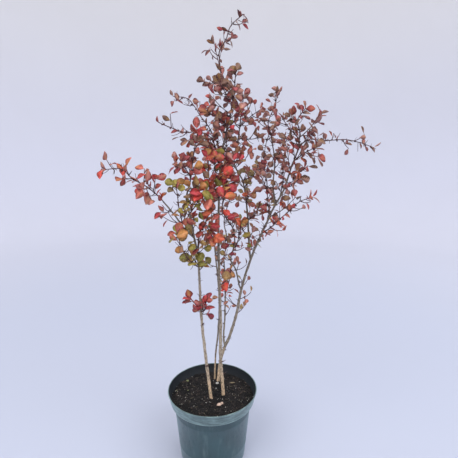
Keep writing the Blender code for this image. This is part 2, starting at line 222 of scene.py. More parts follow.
def end_recipe(graph, geometry, finish):
    """Realizes the instances and gives the result its material."""
    real = graph.add("GeometryNodeRealizeInstances", sockets={0: geometry})
    painted = graph.add("GeometryNodeSetMaterial", sockets={"Geometry": real, "Material": finish})
    graph.tree.links.new(painted.socket, graph.tree.nodes.new("NodeGroupOutput").inputs[0])


def attribute(graph, name, kind="FLOAT"):
    return graph.add("GeometryNodeInputNamedAttribute", {"data_type": kind}, {"Name": name})


# %% [markdown]
# Serving a recipe runs it once and keeps the result as a plain mesh, because an export drops live
# instances. A modifier's input is set by its socket's identifier, not by its name. A recipe that needs
# places rather than a surface gets a mesh of loose points, and each point's look is an attribute.


# %% Serving a recipe
def link(obj):
    scene.collection.objects.link(obj)
    return obj


def serve(name, graph, base, **values):
    """Runs a recipe on a mesh and keeps the result as a plain mesh object at the origin."""
    host = link(bpy.data.objects.new(f"{name}_host", base))
    modifier = host.modifiers.new("recipe", "NODES")
    modifier.node_group = graph.tree
    for item in graph.tree.interface.items_tree:
        if item.in_out == "INPUT" and item.name in values:
            modifier[item.identifier] = values[item.name]
    graph_now = bpy.context.evaluated_depsgraph_get()
    mesh = bpy.data.meshes.new_from_object(host.evaluated_get(graph_now))
    bpy.data.objects.remove(host)
    mesh.name = name
    mesh.calc_loop_triangles()
    print(name, len(mesh.loop_triangles), "triangles")
    return link(bpy.data.objects.new(name, mesh))


def point_mesh(name, places, **columns):
    """A mesh of loose points with one attribute for each named column, given as (type, values)."""
    mesh = bpy.data.meshes.new(name)
    mesh.from_pydata(places, [], [])
    for label, (kind, values) in columns.items():
        column = mesh.attributes.new(label, kind, "POINT")
        field = "vector" if kind == "FLOAT_VECTOR" else "value"
        for item, value in zip(column.data, values):
            setattr(item, field, value)
    return mesh


# %% [markdown]
# The camera stands where the photograph was taken from. The pot's rim shows as an ellipse, and its size and
# flatness give the distance and the downward tilt. The focal length is written as a share of the picture's
# width, so that the view doesn't depend on how large the picture is.

# %% Camera
CAMERA_PLACE = Vector((0.0317, -0.6088, 0.5364))
CAMERA_TILT = math.radians(8.91)
SENSOR = 36.0
PHOTO_WIDTH, PHOTO_FOCAL = 458, 344
FOCAL_SHARE = PHOTO_FOCAL / PHOTO_WIDTH
NEAREST = 0.01


def build_camera():
    data = bpy.data.cameras.new("camera")
    data.sensor_width = SENSOR
    data.lens = SENSOR * FOCAL_SHARE
    data.clip_start = NEAREST
    camera = link(bpy.data.objects.new("camera", data))
    camera.location = CAMERA_PLACE
    camera.rotation_euler = (math.pi / 2 - CAMERA_TILT, 0, 0)
    scene.camera = camera


build_camera()
print("camera", tuple(CAMERA_PLACE), "lens", round(SENSOR * FOCAL_SHARE, 2), "mm")

# %% [markdown]
# The plant stood in front of pale paper. A straight sweep of it would show its edges from the sides, so the
# floor curves up into a wall all round, like a bowl. By distance from the pot, the paper is painted darker
# and bluish near the pot, as painted shade, and painted lighter up the wall, as painted light where less
# light falls. It doesn't shine, because a lamp's mirror image would be a bright band.

# %% Backdrop
# Paper tones by distance from the pot: painted shade near it, painted light high on the wall.
NEAR_PAPER_SHADED = (0.515, 0.548, 0.652)
FAR_PAPER = (0.71, 0.725, 0.81)
HIGH_PAPER_BRIGHTENED = (0.765, 0.757, 0.762)
BOWL_RADIUS, BOWL_BEND, BOWL_HEIGHT = 3.4, 1.2, 2.6
FAR_FROM, HIGH_FROM = (0.6, 2.8), (3.2, 4.2)
BOWL_SIDES, BEND_STEPS = 96, 16
# Faint grey patches of painted shade, where the paper is creased.
CREASE_SHADE_SIZE, CREASE_SHADE_SHARE, CREASE_SHADE_GREY = 0.5, 0.03, (0.5, 0.5, 0.5)


def bowl_mesh():
    """A flat disc that bends up into a wall, from a profile carried round the axis."""
    inner = BOWL_RADIUS - BOWL_BEND
    profile = [(inner / 2, 0)]
    for k in range(BEND_STEPS + 1):
        turn = math.pi / 2 * k / BEND_STEPS
        profile.append((inner + BOWL_BEND * math.sin(turn), BOWL_BEND * (1 - math.cos(turn))))
    profile.append((BOWL_RADIUS, BOWL_HEIGHT))
    points = [(0, 0, 0)]
    for radius, height in profile:
        turns = [2 * math.pi * n / BOWL_SIDES for n in range(BOWL_SIDES)]
        points += [(radius * math.cos(t), radius * math.sin(t), height) for t in turns]
    faces = []
    for n in range(BOWL_SIDES):
        m = (n + 1) % BOWL_SIDES
        faces.append((0, 1 + n, 1 + m))
        for k in range(len(profile) - 1):
            low, high = 1 + k * BOWL_SIDES, 1 + (k + 1) * BOWL_SIDES
            faces.append((low + n, high + n, high + m, low + m))
    mesh = bpy.data.meshes.new("paper_bowl")
    mesh.from_pydata(points, [], faces)
    mesh.shade_smooth()
    return mesh


def paper_finish():
    finish, graph, shader = new_material("pale_paper")
    away = graph.add("ShaderNodeVectorMath", {"operation": "LENGTH"}, {0: graph.place()}, out="Value")
    # Painted shade darkens the paper near the pot, and painted light brightens it up the wall.
    tone = graph.mix(away.between(*FAR_FROM), NEAR_PAPER_SHADED, FAR_PAPER)
    tone = graph.mix(away.between(*HIGH_FROM), tone, HIGH_PAPER_BRIGHTENED)
    # Faint grey patches are painted shade of creases in the paper.
    crease_shade = graph.noise(CREASE_SHADE_SIZE, detail=3.0).between(0.3, 0.7)
    tone = graph.mix(crease_shade * CREASE_SHADE_SHARE, tone, CREASE_SHADE_GREY)
    connect(graph, shader, Base_Color=tone, Roughness=0.9, Specular_IOR_Level=0.0)
    return finish


paper = bowl_mesh()
paper.materials.append(paper_finish())
link(bpy.data.objects.new("paper_bowl", paper))
print("backdrop", len(paper.polygons), "faces,", 2 * BOWL_RADIUS, "m across")

# %% [markdown]
# The light is even and nearly shadowless: one broad lamp from the front left, one almost as strong from the
# front right, and a weak one from behind. They hang high and wide, because a low lamp leaves a pool of
# light on the paper. A pale sky keeps every shadow open.

# %% Lights: place, size in metres, power in watts, colour
LAMPS = {
    "key": ((-1.25, -1.5, 2.5), 2.0, 36.0, (1.0, 0.985, 0.96)),
    "fill": ((1.6, -1.3, 2.4), 2.0, 29.0, (0.96, 0.98, 1.0)),
    "back": ((0.6, 0.9, 2.4), 1.4, 9.0, (1.0, 1.0, 1.0)),
}
AIM = Vector((0.05, 0, 0.4))
SKY = (0.90, 0.90, 0.96)
SKY_STRENGTH = 0.91


def build_lights():
    for name, (place, size, power, colour) in LAMPS.items():
        data = bpy.data.lights.new(name, "AREA")
        data.size = size
        data.energy = power
        data.color = colour
        lamp = link(bpy.data.objects.new(name, data))
        lamp.location = place
        lamp.rotation_euler = (AIM - lamp.location).to_track_quat("-Z", "Y").to_euler()
    world = bpy.data.worlds.new("sky")
    world.use_nodes = True
    sky = world.node_tree.nodes["Background"]
    sky.inputs["Color"].default_value = (*SKY, 1)
    sky.inputs["Strength"].default_value = SKY_STRENGTH
    scene.world = world
    scene.view_settings.view_transform = "Standard"


build_lights()
print("lights", list(LAMPS), "and a sky of strength", SKY_STRENGTH)

# %% [markdown]
# The pot is a thin tapered shell: a flat floor with drain holes, a straight wall, a step out to a collar,
# and a rounded lip. It could be cut from a cylinder, but a turned profile gives the true wall thickness
# and the small radii that catch the light.

# %% Sizes of the pot and the compost
POT_HEIGHT = 0.133
RIM_RADIUS = 0.085
COLLAR_HEIGHT = 0.022
COLLAR_FOOT_RADIUS = 0.080
BODY_TOP_RADIUS = 0.0735
BODY_FOOT_RADIUS = 0.0625
POT_WALL = 0.0019
POT_FLOOR = 0.0025
DRAIN_HOLES, DRAIN_RADIUS, DRAIN_RING = 8, 0.0045, 0.048
SOIL_TOP = 0.117
LEDGE = POT_HEIGHT - COLLAR_HEIGHT
LIP_RADIUS = 0.0009
LIP_BEAD = 0.0006
POT_SIDES = 128


def arc(centre, radius, start, stop, steps):
    """Points on an arc in the profile's plane, from one angle in degrees to another."""
    turns = [math.radians(start + (stop - start) * k / steps) for k in range(steps + 1)]
    return [(centre[0] + radius * math.cos(t), centre[1] + radius * math.sin(t)) for t in turns]


def collar_radius(height):
    return RIM_RADIUS + (POT_HEIGHT - height) / COLLAR_HEIGHT * (COLLAR_FOOT_RADIUS - RIM_RADIUS)


def body_radius(height):
    return BODY_FOOT_RADIUS + height / LEDGE * (BODY_TOP_RADIUS - BODY_FOOT_RADIUS)


print("pot", round(1000 * POT_HEIGHT), "mm high, step to the collar at", round(1000 * LEDGE), "mm")

# %% [markdown]
# The lip is a bead that stands a little proud of the collar, and the collar's foot turns in over a small
# radius to the body. Two faint rings on the body come from the mould.

# %% Outline of the pot
BODY_RINGS = (0.028, 0.094)
RING_DEPTH, RING_HALF = 0.0003, 0.0012
CORNER = 0.002
LIP_FALL = 0.003
COLLAR_BAND = 0.004
COLLAR_INSET, COLLAR_TURN = 0.0016, 0.0014
LEDGE_TURN = 0.0012
FOOT_TURN = 0.0015


def pot_profile():
    """(radius, height) points from the middle of the floor up the inside, over the lip and down outside."""
    lip = (RIM_RADIUS - LIP_RADIUS, POT_HEIGHT - LIP_RADIUS)
    inner = [
        (0, POT_FLOOR), (body_radius(POT_FLOOR) - POT_WALL - CORNER, POT_FLOOR),
        (body_radius(POT_FLOOR) - POT_WALL, POT_FLOOR + CORNER),
        (body_radius(LEDGE) - POT_WALL, LEDGE - POT_WALL),
        (collar_radius(LEDGE) - POT_WALL, LEDGE + POT_WALL),
        (RIM_RADIUS - POT_WALL - LIP_BEAD, POT_HEIGHT - LIP_FALL)]
    over = arc(lip, LIP_RADIUS, 170, -60, 8)
    collar = [(collar_radius(POT_HEIGHT - COLLAR_BAND) - LIP_BEAD, POT_HEIGHT - COLLAR_BAND)]
    collar += [(collar_radius(LEDGE + COLLAR_BAND) - LIP_BEAD / 2, LEDGE + COLLAR_BAND)]
    collar += arc((COLLAR_FOOT_RADIUS - COLLAR_INSET, LEDGE + COLLAR_INSET), COLLAR_TURN, 0, -90, 5)
    collar += arc((BODY_TOP_RADIUS + LEDGE_TURN, LEDGE - LEDGE_TURN), LEDGE_TURN, 90, 180, 4)
    body = []
    for ring in sorted(BODY_RINGS, reverse=True):
        above, below = ring + RING_HALF, ring - RING_HALF
        body += [(body_radius(above), above), (body_radius(ring) + RING_DEPTH, ring)]
        body += [(body_radius(below), below)]
    foot = arc((BODY_FOOT_RADIUS - FOOT_TURN, FOOT_TURN), FOOT_TURN, 0, -90, 5)
    return inner + over + collar + body + foot + [(0, 0)]


print("outline of", len(pot_profile()), "points")

# %% [markdown]
# Turning is a Screw modifier with no rise. The eight holes are cylinders in a collection, which one Boolean
# takes away at once. Edges sharper than 50 degrees keep their crease, and the rest is shaded smooth.

# %% Pot
MERGE_WITHIN = 0.00005
HOLE_SIDES = 24
SHARP_FROM = math.radians(50)


def turned(name, profile, sides):
    """A profile with a Screw modifier that turns it about the axis."""
    mesh = bpy.data.meshes.new(name)
    mesh.from_pydata([(r, 0, z) for r, z in profile], [(k, k + 1) for k in range(len(profile) - 1)], [])
    obj = link(bpy.data.objects.new(name, mesh))
    screw = obj.modifiers.new("turn", "SCREW")
    screw.steps = screw.render_steps = sides
    screw.use_merge_vertices = True
    screw.merge_threshold = MERGE_WITHIN
    return obj


def drain_cutters(holes):
    for k in range(DRAIN_HOLES):
        turn = 2 * math.pi * (k + 0.5) / DRAIN_HOLES
        shape = bmesh.new()
        place = Vector((DRAIN_RING * math.cos(turn), DRAIN_RING * math.sin(turn), POT_FLOOR / 2))
        bmesh.ops.create_cone(
            shape, cap_ends=True, segments=HOLE_SIDES, radius1=DRAIN_RADIUS, radius2=DRAIN_RADIUS,
            depth=4 * POT_FLOOR, matrix=Matrix.Translation(place))
        mesh = bpy.data.meshes.new(f"drain_{k}")
        shape.to_mesh(mesh)
        shape.free()
        holes.objects.link(bpy.data.objects.new(f"drain_{k}", mesh))


def build_pot():
    pot = turned("nursery_pot", pot_profile(), POT_SIDES)
    holes = bpy.data.collections.new("holes")
    drain_cutters(holes)
    cut = pot.modifiers.new("drains", "BOOLEAN")
    cut.operand_type = "COLLECTION"
    cut.collection = holes
    graph_now = bpy.context.evaluated_depsgraph_get()
    whole = bpy.data.meshes.new_from_object(pot.evaluated_get(graph_now))
    pot.modifiers.clear()
    pot.data = whole
    for obj in list(holes.objects):
        bpy.data.objects.remove(obj)
    bpy.data.collections.remove(holes)
    pot.data.set_sharp_from_angle(angle=SHARP_FROM)
    return pot


pot = build_pot()
print("pot", len(pot.data.polygons), "faces, rim", round(2000 * RIM_RADIUS), "mm across")

# %% [markdown]
# The plastic is a dark grey-green that looks blue against the paper. It has been watered and carried: lime
# bloom lies in soft streaks down the wall and, with a painted highlight, thickest on the collar, a painted
# highlight runs along the collar's foot, fine scuffs break up the gloss, and the inside is painted darker, as
# painted shade and as the stain of damp compost. Noise of several sizes makes these, and the shader's sheen
# stands for dry dust, which lights up at a slant.

# %% Plastic of the pot
POT_DARK = srgb(11, 29, 35)
POT_LIGHT = srgb(28, 57, 62)
# Lime bloom, also used for the painted highlights on the collar and along its foot.
POT_BLOOM_AND_HIGHLIGHT = srgb(152, 178, 172)
# The inside is painted darker than the outside, as painted shade and as the stain of damp compost.
POT_INSIDE_SHADE_AND_STAIN = srgb(6, 16, 24)
POT_GRIME = srgb(22, 31, 37)


def pot_plastic():
    finish, graph, shader = new_material("pot_plastic")
    height = graph.height()
    cloud = graph.noise(0.045, detail=4.0)
    streaks = graph.noise(0.008, detail=4.0, stretch=(1, 1, 0.25))
    tone = graph.mix(cloud.between(0.3, 0.7), POT_DARK, POT_LIGHT)
    collar = height.between(LEDGE - 0.001, LEDGE + 0.002)
    # A thin band at the collar's foot is a painted highlight, where its rounded edge catches the light.
    edge = height.between(LEDGE - 0.001, LEDGE + 0.0005)
    edge = edge * (1 - height.between(LEDGE + 0.0015, LEDGE + 0.003))
    bands = graph.noise(0.009, detail=5.0, stretch=(0.35, 0.35, 1.6), roughness=0.65)
    on_wall = streaks.between(0.5, 0.85) * 0.14 + 0.03
    # The collar is painted lighter in soft horizontal bands, partly as lime bloom and partly as a painted
    # highlight.
    collar_bloom_and_highlight = collar * (0.08 + 0.2 * cloud + 0.42 * bands.between(0.4, 0.7))
    tone = graph.mix(on_wall + collar_bloom_and_highlight + edge * 0.3, tone, POT_BLOOM_AND_HIGHLIGHT)
    fine = graph.noise(0.0006, detail=3.0)
    scuffs = graph.noise(0.003, detail=5.0, stretch=(1, 1, 0.3), roughness=0.7)
    rough = 0.34 + 0.22 * cloud + 0.25 * scuffs.between(0.5, 0.75)
    relief = fine * 0.3 + scuffs * 0.7
    connect(graph, shader, Base_Color=tone, Roughness=rough, Normal=bumped(graph, relief, 0.00012, 0.5))
    connect(graph, shader, Coat_Weight=0.3, Coat_Roughness=0.22)
    connect(graph, shader, Specular_IOR_Level=1.0, Specular_Tint=(0.7, 0.95, 1.0))
    connect(graph, shader, Sheen_Weight=0.22, Sheen_Roughness=0.4, Sheen_Tint=(0.62, 0.92, 1.0))
    return finish


def pot_inner_plastic():
    finish, graph, shader = new_material("pot_inside")
    grime = graph.noise(0.004, detail=5.0, roughness=0.65)
    # Painted shade and compost stain darken the inside, with lighter smears of grime.
    tone = graph.mix(grime.between(0.45, 0.7), POT_INSIDE_SHADE_AND_STAIN, POT_GRIME)
    connect(graph, shader, Base_Color=tone, Roughness=0.45 + 0.4 * grime)
    return finish


# %% [markdown]
# The pot is one mesh with two finishes. A face is inside if its middle lies above the floor, below the lip
# and nearer to the axis than the wall's middle.

# %% Inside and outside
FLOOR_SLIP = 0.0001
WALL_SHARE = 0.7
LIP_DEPTH = 0.0015


def paint_pot():
    pot.data.materials.append(pot_plastic())
    pot.data.materials.append(pot_inner_plastic())
    for face in pot.data.polygons:
        x, y, z = face.center
        radius = math.hypot(x, y)
        wall = collar_radius(z) if z > LEDGE else body_radius(z)
        between = POT_FLOOR - FLOOR_SLIP < z < POT_HEIGHT - LIP_DEPTH
        face.material_index = 1 if between and radius < wall - POT_WALL * WALL_SHARE else 0


paint_pot()
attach(pot, "root")
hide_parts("pot")
print("inside", sum(face.material_index for face in pot.data.polygons), "faces")

# %% [markdown]
# The compost fills the pot to a finger's width under the lip. Its body is one closed mesh whose top is a
# grid of rings, raised by noise into lumps and heaped a little round each cane. The loose crumbs, chips and
# fibres that make it read as peat are scattered on that top in later cells.

# %% Surface of the compost
SOIL_RINGS, SOIL_SECTORS = 52, 144
LUMP, LUMP_HEIGHT = 0.011, 0.0022
GRAIN, GRAIN_HEIGHT, GRAIN_LAYER = 0.0035, 0.0012, 0.03
HEAP_HEIGHT, HEAP_SPREAD = 0.0025, 0.012
SOIL_SINK, SOIL_DIP = 0.001, 0.0016
SOIL_GAP = 0.0002
FEET = [Vector((-2, -14)) * MM, Vector((21, -2)) * MM, Vector((2, 50)) * MM, Vector((9, 41)) * MM]


def soil_height(x, y):
    """The compost's surface above the pot's underside."""
    lump = noise.noise(Vector((x, y, 0)) / LUMP)
    grain = noise.noise(Vector((x, y, GRAIN_LAYER)) / GRAIN)
    heap = max(math.exp(-((Vector((x, y)) - foot).length / HEAP_SPREAD) ** 2) for foot in FEET)
    dip = (math.hypot(x, y) / COLLAR_FOOT_RADIUS) ** 8
    rise = SOIL_TOP - SOIL_SINK + LUMP_HEIGHT * lump + GRAIN_HEIGHT * grain
    return rise + HEAP_HEIGHT * heap - SOIL_DIP * dip


print("compost is", round(1000 * (soil_height(0, 0) - SOIL_TOP), 1), "mm from its level in the middle")

# %% [markdown]
# The body goes down to the floor, a hair's breadth from the wall, as a closed solid. Its lower rings follow
# the collar, the step and the floor's corner in turn.


# %% Compost body
def build_soil():
    rim = collar_radius(SOIL_TOP) - POT_WALL - LIP_BEAD - SOIL_GAP
    shape = bmesh.new()
    middle = shape.verts.new((0, 0, soil_height(0, 0)))
    rings = []
    outline = [(rim * (k / SOIL_RINGS), None) for k in range(1, SOIL_RINGS + 1)]
    outline += [(collar_radius(LEDGE) - POT_WALL - SOIL_GAP, LEDGE + POT_WALL)]
    outline += [(body_radius(LEDGE) - POT_WALL - SOIL_GAP, LEDGE - POT_WALL)]
    outline += [(body_radius(POT_FLOOR) - POT_WALL - CORNER, POT_FLOOR + SOIL_GAP)]
    for radius, height in outline:
        ring = []
        for n in range(SOIL_SECTORS):
            x = radius * math.cos(2 * math.pi * n / SOIL_SECTORS)
            y = radius * math.sin(2 * math.pi * n / SOIL_SECTORS)
            ring.append(shape.verts.new((x, y, soil_height(x, y) if height is None else height)))
        rings.append(ring)
    for n in range(SOIL_SECTORS):
        m = (n + 1) % SOIL_SECTORS
        shape.faces.new((middle, rings[0][n], rings[0][m]))
        for inner, outer in zip(rings, rings[1:]):
            shape.faces.new((inner[n], outer[n], outer[m], inner[m]))
    shape.faces.new(reversed(rings[-1]))
    mesh = bpy.data.meshes.new("compost")
    shape.to_mesh(mesh)
    shape.free()
    mesh.shade_smooth()
    return link(bpy.data.objects.new("compost", mesh))


soil = build_soil()
print("compost", len(soil.data.polygons), "faces")

# %% [markdown]
# Damp peat is nearly black, with lighter crumbs where it has dried. Fine noise makes the crumbs and larger
# noise gathers them in patches.


# %% Finish of the compost
def peat(name, dark, light, size):
    """Damp crumbly matter between two tones."""
    finish, graph, shader = new_material(name)
    crumbs = graph.noise(size, detail=6.0, roughness=0.7)
    patches = graph.noise(size * 7, detail=2.0)
    tone = graph.mix(crumbs.between(0.42, 0.66) * patches.between(0.3, 0.65), dark, light)
    connect(
        graph, shader, Base_Color=tone, Roughness=0.95 - 0.25 * crumbs.between(0.6, 0.8),
        Normal=bumped(graph, crumbs, size * 0.6, 0.8))
    return finish


soil.data.materials.append(peat("peat", srgb(6, 6, 8), srgb(32, 27, 28), 0.0016))
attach(soil, "root")
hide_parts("soil")
print("compost wears", soil.data.materials[0].name)

# %% [markdown]
# Loose matter lies on the compost: dark peat crumbs everywhere, brown bark chips, pale straw fibres, and a
# few light specks of grit. Each kind has two or three prototypes of a few dozen faces, one unit large, and
# a recipe strews copies of them.


# %% Prototypes of crumbs, chips and fibres
def lumpy_ball(seed, squash):
    dice = random.Random(seed)
    shape = bmesh.new()
    bmesh.ops.create_icosphere(shape, subdivisions=1, radius=0.5)
    for vert in shape.verts:
        vert.co = vert.co * dice.uniform(0.75, 1.2)
        vert.co.z *= squash
    return shape


def flat_chip(seed, length, thick):
    """A torn flake: an uneven outline of six points, thicker in the middle."""
    dice = random.Random(seed)
    shape = bmesh.new()
    ring = []
    for k in range(6):
        reach = dice.uniform(0.32, 0.55)
        turn = 2 * math.pi * (k + dice.uniform(-0.25, 0.25)) / 6
        height = dice.uniform(-0.05, 0.05)
        ring.append(shape.verts.new((length * reach * math.cos(turn), reach * math.sin(turn), height)))
    top = shape.verts.new((0, 0, thick / 2))
    below = shape.verts.new((0, 0, -thick / 2))
    for k in range(6):
        shape.faces.new((ring[k], ring[(k + 1) % 6], top))
        shape.faces.new((ring[(k + 1) % 6], ring[k], below))
    return shape


def bent_fibre(seed, bend):
    """A three-sided fibre one unit long that bows to one side."""
    dice = random.Random(seed)
    shape = bmesh.new()
    rings = []
    for k in range(5):
        along = k / 4 - 0.5
        side = bend * (0.25 - along * along) + dice.uniform(-0.02, 0.02)
        radius = 0.035 * (1.1 - abs(along))
        turns = [2 * math.pi * n / 3 for n in range(3)]
        points = [(along, side + radius * math.cos(t), radius * math.sin(t)) for t in turns]
        rings.append([shape.verts.new(point) for point in points])
    for low, high in zip(rings, rings[1:]):
        for n in range(3):
            shape.faces.new((low[n], high[n], high[(n + 1) % 3], low[(n + 1) % 3]))
    shape.faces.new(rings[0])
    shape.faces.new(reversed(rings[-1]))
    bmesh.ops.recalc_face_normals(shape, faces=shape.faces)
    return shape


# %% [markdown]
# A kit is a collection that holds the prototypes while a recipe runs. It is cleared away afterwards.


# %% Kits
def kit_of(name, shapes):
    kit = bpy.data.collections.new(name)
    for k, shape in enumerate(shapes):
        mesh = bpy.data.meshes.new(f"{name}_{k}")
        shape.to_mesh(mesh)
        shape.free()
        kit.objects.link(bpy.data.objects.new(f"{name}_{k}", mesh))
    return kit


def clear_kit(kit):
    for obj in list(kit.objects):
        bpy.data.objects.remove(obj)
    bpy.data.collections.remove(kit)


# %% [markdown]
# One recipe strews all the loose matter. It puts points on the faces that look up, sets a random prototype
# on each, turns and sizes it, and lifts it a little. The seed is an input, so that the same crumbs always
# fall in the same places.

# %% Scatter recipe
FACING_UP = 0.3


def scatter_recipe():
    graph, given = recipe(
        "scatter", Kit=("NodeSocketCollection", None), Density=("NodeSocketFloat", 1000.0),
        Smallest=("NodeSocketFloat", 0.001), Largest=("NodeSocketFloat", 0.003),
        Tumble=("NodeSocketFloat", 3.1416), Lift=("NodeSocketFloat", 0.0),
        Seed=("NodeSocketInt", 0), Finish=("NodeSocketMaterial", None))
    facing = graph.add("GeometryNodeInputNormal")
    up = graph.add("ShaderNodeSeparateXYZ", sockets={0: facing}, out="Z")
    on_top = graph.add("FunctionNodeCompare", {"operation": "GREATER_THAN"}, {0: up, 1: FACING_UP})
    seed, tumble = given["Seed"], given["Tumble"]
    points = graph.add("GeometryNodeDistributePointsOnFaces", sockets={
        "Mesh": given["Geometry"], "Selection": on_top, "Density": given["Density"], "Seed": seed})
    pieces = graph.add("GeometryNodeCollectionInfo", sockets={
        "Collection": given["Kit"], "Separate Children": True, "Reset Children": True})
    size = graph.add("FunctionNodeRandomValue", sockets={
        2: given["Smallest"], 3: given["Largest"], "Seed": seed}, out=1)
    most = graph.add("ShaderNodeCombineXYZ", sockets={0: tumble, 1: tumble, 2: math.pi})
    least = graph.add("ShaderNodeCombineXYZ", sockets={0: 0.0 - tumble, 1: 0.0 - tumble, 2: -math.pi})
    turn = graph.add(
        "FunctionNodeRandomValue", {"data_type": "FLOAT_VECTOR"}, {0: least, 1: most, "Seed": seed + 7})
    copies = graph.add("GeometryNodeInstanceOnPoints", sockets={
        "Points": points, "Instance": pieces, "Pick Instance": True, "Rotation": turn, "Scale": size})
    rise = graph.add("ShaderNodeCombineXYZ", sockets={2: given["Lift"]})
    lifted = graph.add("GeometryNodeTranslateInstances", sockets={
        0: copies, "Translation": rise, "Local Space": False})
    end_recipe(graph, lifted, given["Finish"])
    return graph


scatter = scatter_recipe()
print("scatter recipe of", len(scatter.tree.nodes), "nodes")

# %% [markdown]
# The photograph's compost is nearly black, so the crumbs stay close to the body's tone and only their
# shadows separate them. The lighter things are few: they are what the eye picks out, and they keep the
# surface from looking like one even texture.


# %% Crumbs, chips, fibres and grit
def speckled(name, dark, light, size, roughness):
    """A dry, faintly mottled finish."""
    finish, graph, shader = new_material(name)
    mottle = graph.noise(size, detail=3.0)
    connect(
        graph, shader, Base_Color=graph.mix(mottle.between(0.3, 0.7), dark, light), Roughness=roughness,
        Normal=bumped(graph, mottle, size * 0.3, 0.6))
    return finish


def scattered(name, shapes, finish, **sizes):
    kit = kit_of(name, shapes)
    piece = serve(name, scatter, soil.data, Kit=kit, Finish=finish, **sizes)
    clear_kit(kit)
    piece.data.shade_smooth()
    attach(piece, "root")


scattered(
    "peat_crumbs", [lumpy_ball(1, 0.7), lumpy_ball(2, 0.9), lumpy_ball(3, 0.6)],
    peat("crumb_peat", srgb(2, 2, 4), srgb(76, 66, 62), 0.0026),
    Density=230000.0, Smallest=0.0009, Largest=0.0034, Seed=3)
scattered(
    "bark_chips", [flat_chip(4, 1.6, 0.3), flat_chip(5, 1.2, 0.35), flat_chip(6, 2.0, 0.25)],
    speckled("chip_brown", srgb(24, 20, 20), srgb(80, 66, 58), 0.002, 0.85),
    Density=5000.0, Smallest=0.0016, Largest=0.0055, Tumble=0.5, Lift=0.0007, Seed=11)
scattered(
    "straw_fibres", [bent_fibre(7, 0.6), bent_fibre(8, -0.3), bent_fibre(9, 1.0)],
    speckled("straw", srgb(88, 80, 66), srgb(158, 146, 122), 0.003, 0.8),
    Density=3200.0, Smallest=0.002, Largest=0.0085, Tumble=0.25, Lift=0.0010, Seed=23)
scattered(
    "pale_grit", [lumpy_ball(12, 0.8), flat_chip(13, 1.3, 0.5)],
    speckled("grit", srgb(132, 128, 118), srgb(210, 206, 196), 0.001, 0.8),
    Density=6000.0, Smallest=0.0006, Largest=0.0022, Lift=0.0011, Seed=31)

# %% [markdown]
# A few larger scraps lie where they show best: a pinkish chip of wood in front, crumbs of perlite beside
# and behind it, yellow-green leaf litter near the wall, and bleached bits of stalk. Each is laid on the
# compost's surface at its own place, so none floats.

# %% Scraps: colour, then place in millimetres, size and turn of each
SCRAPS = {
    "wood_chip": (srgb(244, 212, 190), [((14, -33), 0.0150, 0.9), ((19, -27), 0.0080, 1.4)]),
    "perlite": (srgb(214, 212, 206), [
        ((-11, -25), 0.0036, 0.2), ((-4, -25), 0.0034, 2.0), ((6, 18), 0.0045, 1.0), ((8, 31), 0.0105, 1.5)]),
    "leaf_litter": (srgb(150, 158, 112), [
        ((-54, 44), 0.0085, -0.5), ((-49, 12), 0.0035, 0.4), ((-72, 14), 0.004, 1.0)]),
    "dry_stalk": (srgb(164, 148, 118), [
        ((38, 33), 0.016, 0.2), ((66, 40), 0.006, 1.3), ((62, 50), 0.005, 0.8)]),
}
FLAKE_LENGTH, FLAKE_WIDTH, STALK_WIDTH, FLAKE_HEIGHT = 0.8, 0.8, 0.2, 0.45
FLAKE_LIFT = 0.22
SHADE = 0.7


def lay_scrap(name, colour, places):
    """Small flakes of one kind, each laid flat on the compost at its own place and turn."""
    shape = bmesh.new()
    for k, ((x, y), size, turn) in enumerate(places):
        width = STALK_WIDTH if name == "dry_stalk" else FLAKE_WIDTH
        flake = flat_chip(40 + k, 1.3, 0.45)
        move = Matrix.Translation((x * MM, y * MM, soil_height(x * MM, y * MM) + size * FLAKE_LIFT))
        sized = Matrix.Diagonal((size * FLAKE_LENGTH, size * width, size * FLAKE_HEIGHT, 1))
        flake.transform(move @ (Matrix.Rotation(turn, 4, "Z") @ sized))
        held = bpy.data.meshes.new("held")
        flake.to_mesh(held)
        flake.free()
        shape.from_mesh(held)
        bpy.data.meshes.remove(held)
    mesh = bpy.data.meshes.new(name)
    shape.to_mesh(mesh)
    shape.free()
    mesh.shade_smooth()
    shaded = tuple(SHADE * c for c in colour)
    mesh.materials.append(speckled(f"{name}_finish", shaded, colour, 0.0015, 0.8))
    piece = link(bpy.data.objects.new(name, mesh))
    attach(piece, "root")


for name, (colour, places) in SCRAPS.items():
    lay_scrap(name, colour, places)
print("scraps", {name: len(places) for name, (_, places) in SCRAPS.items()})

# %% [markdown]
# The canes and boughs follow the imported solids: the same points passed on the way up, the same shares of
# the parent's length where a bough leaves it, the same radii. Everything later hangs on these numbers, so
# they are written out here as a table that reads like a pruning plan.

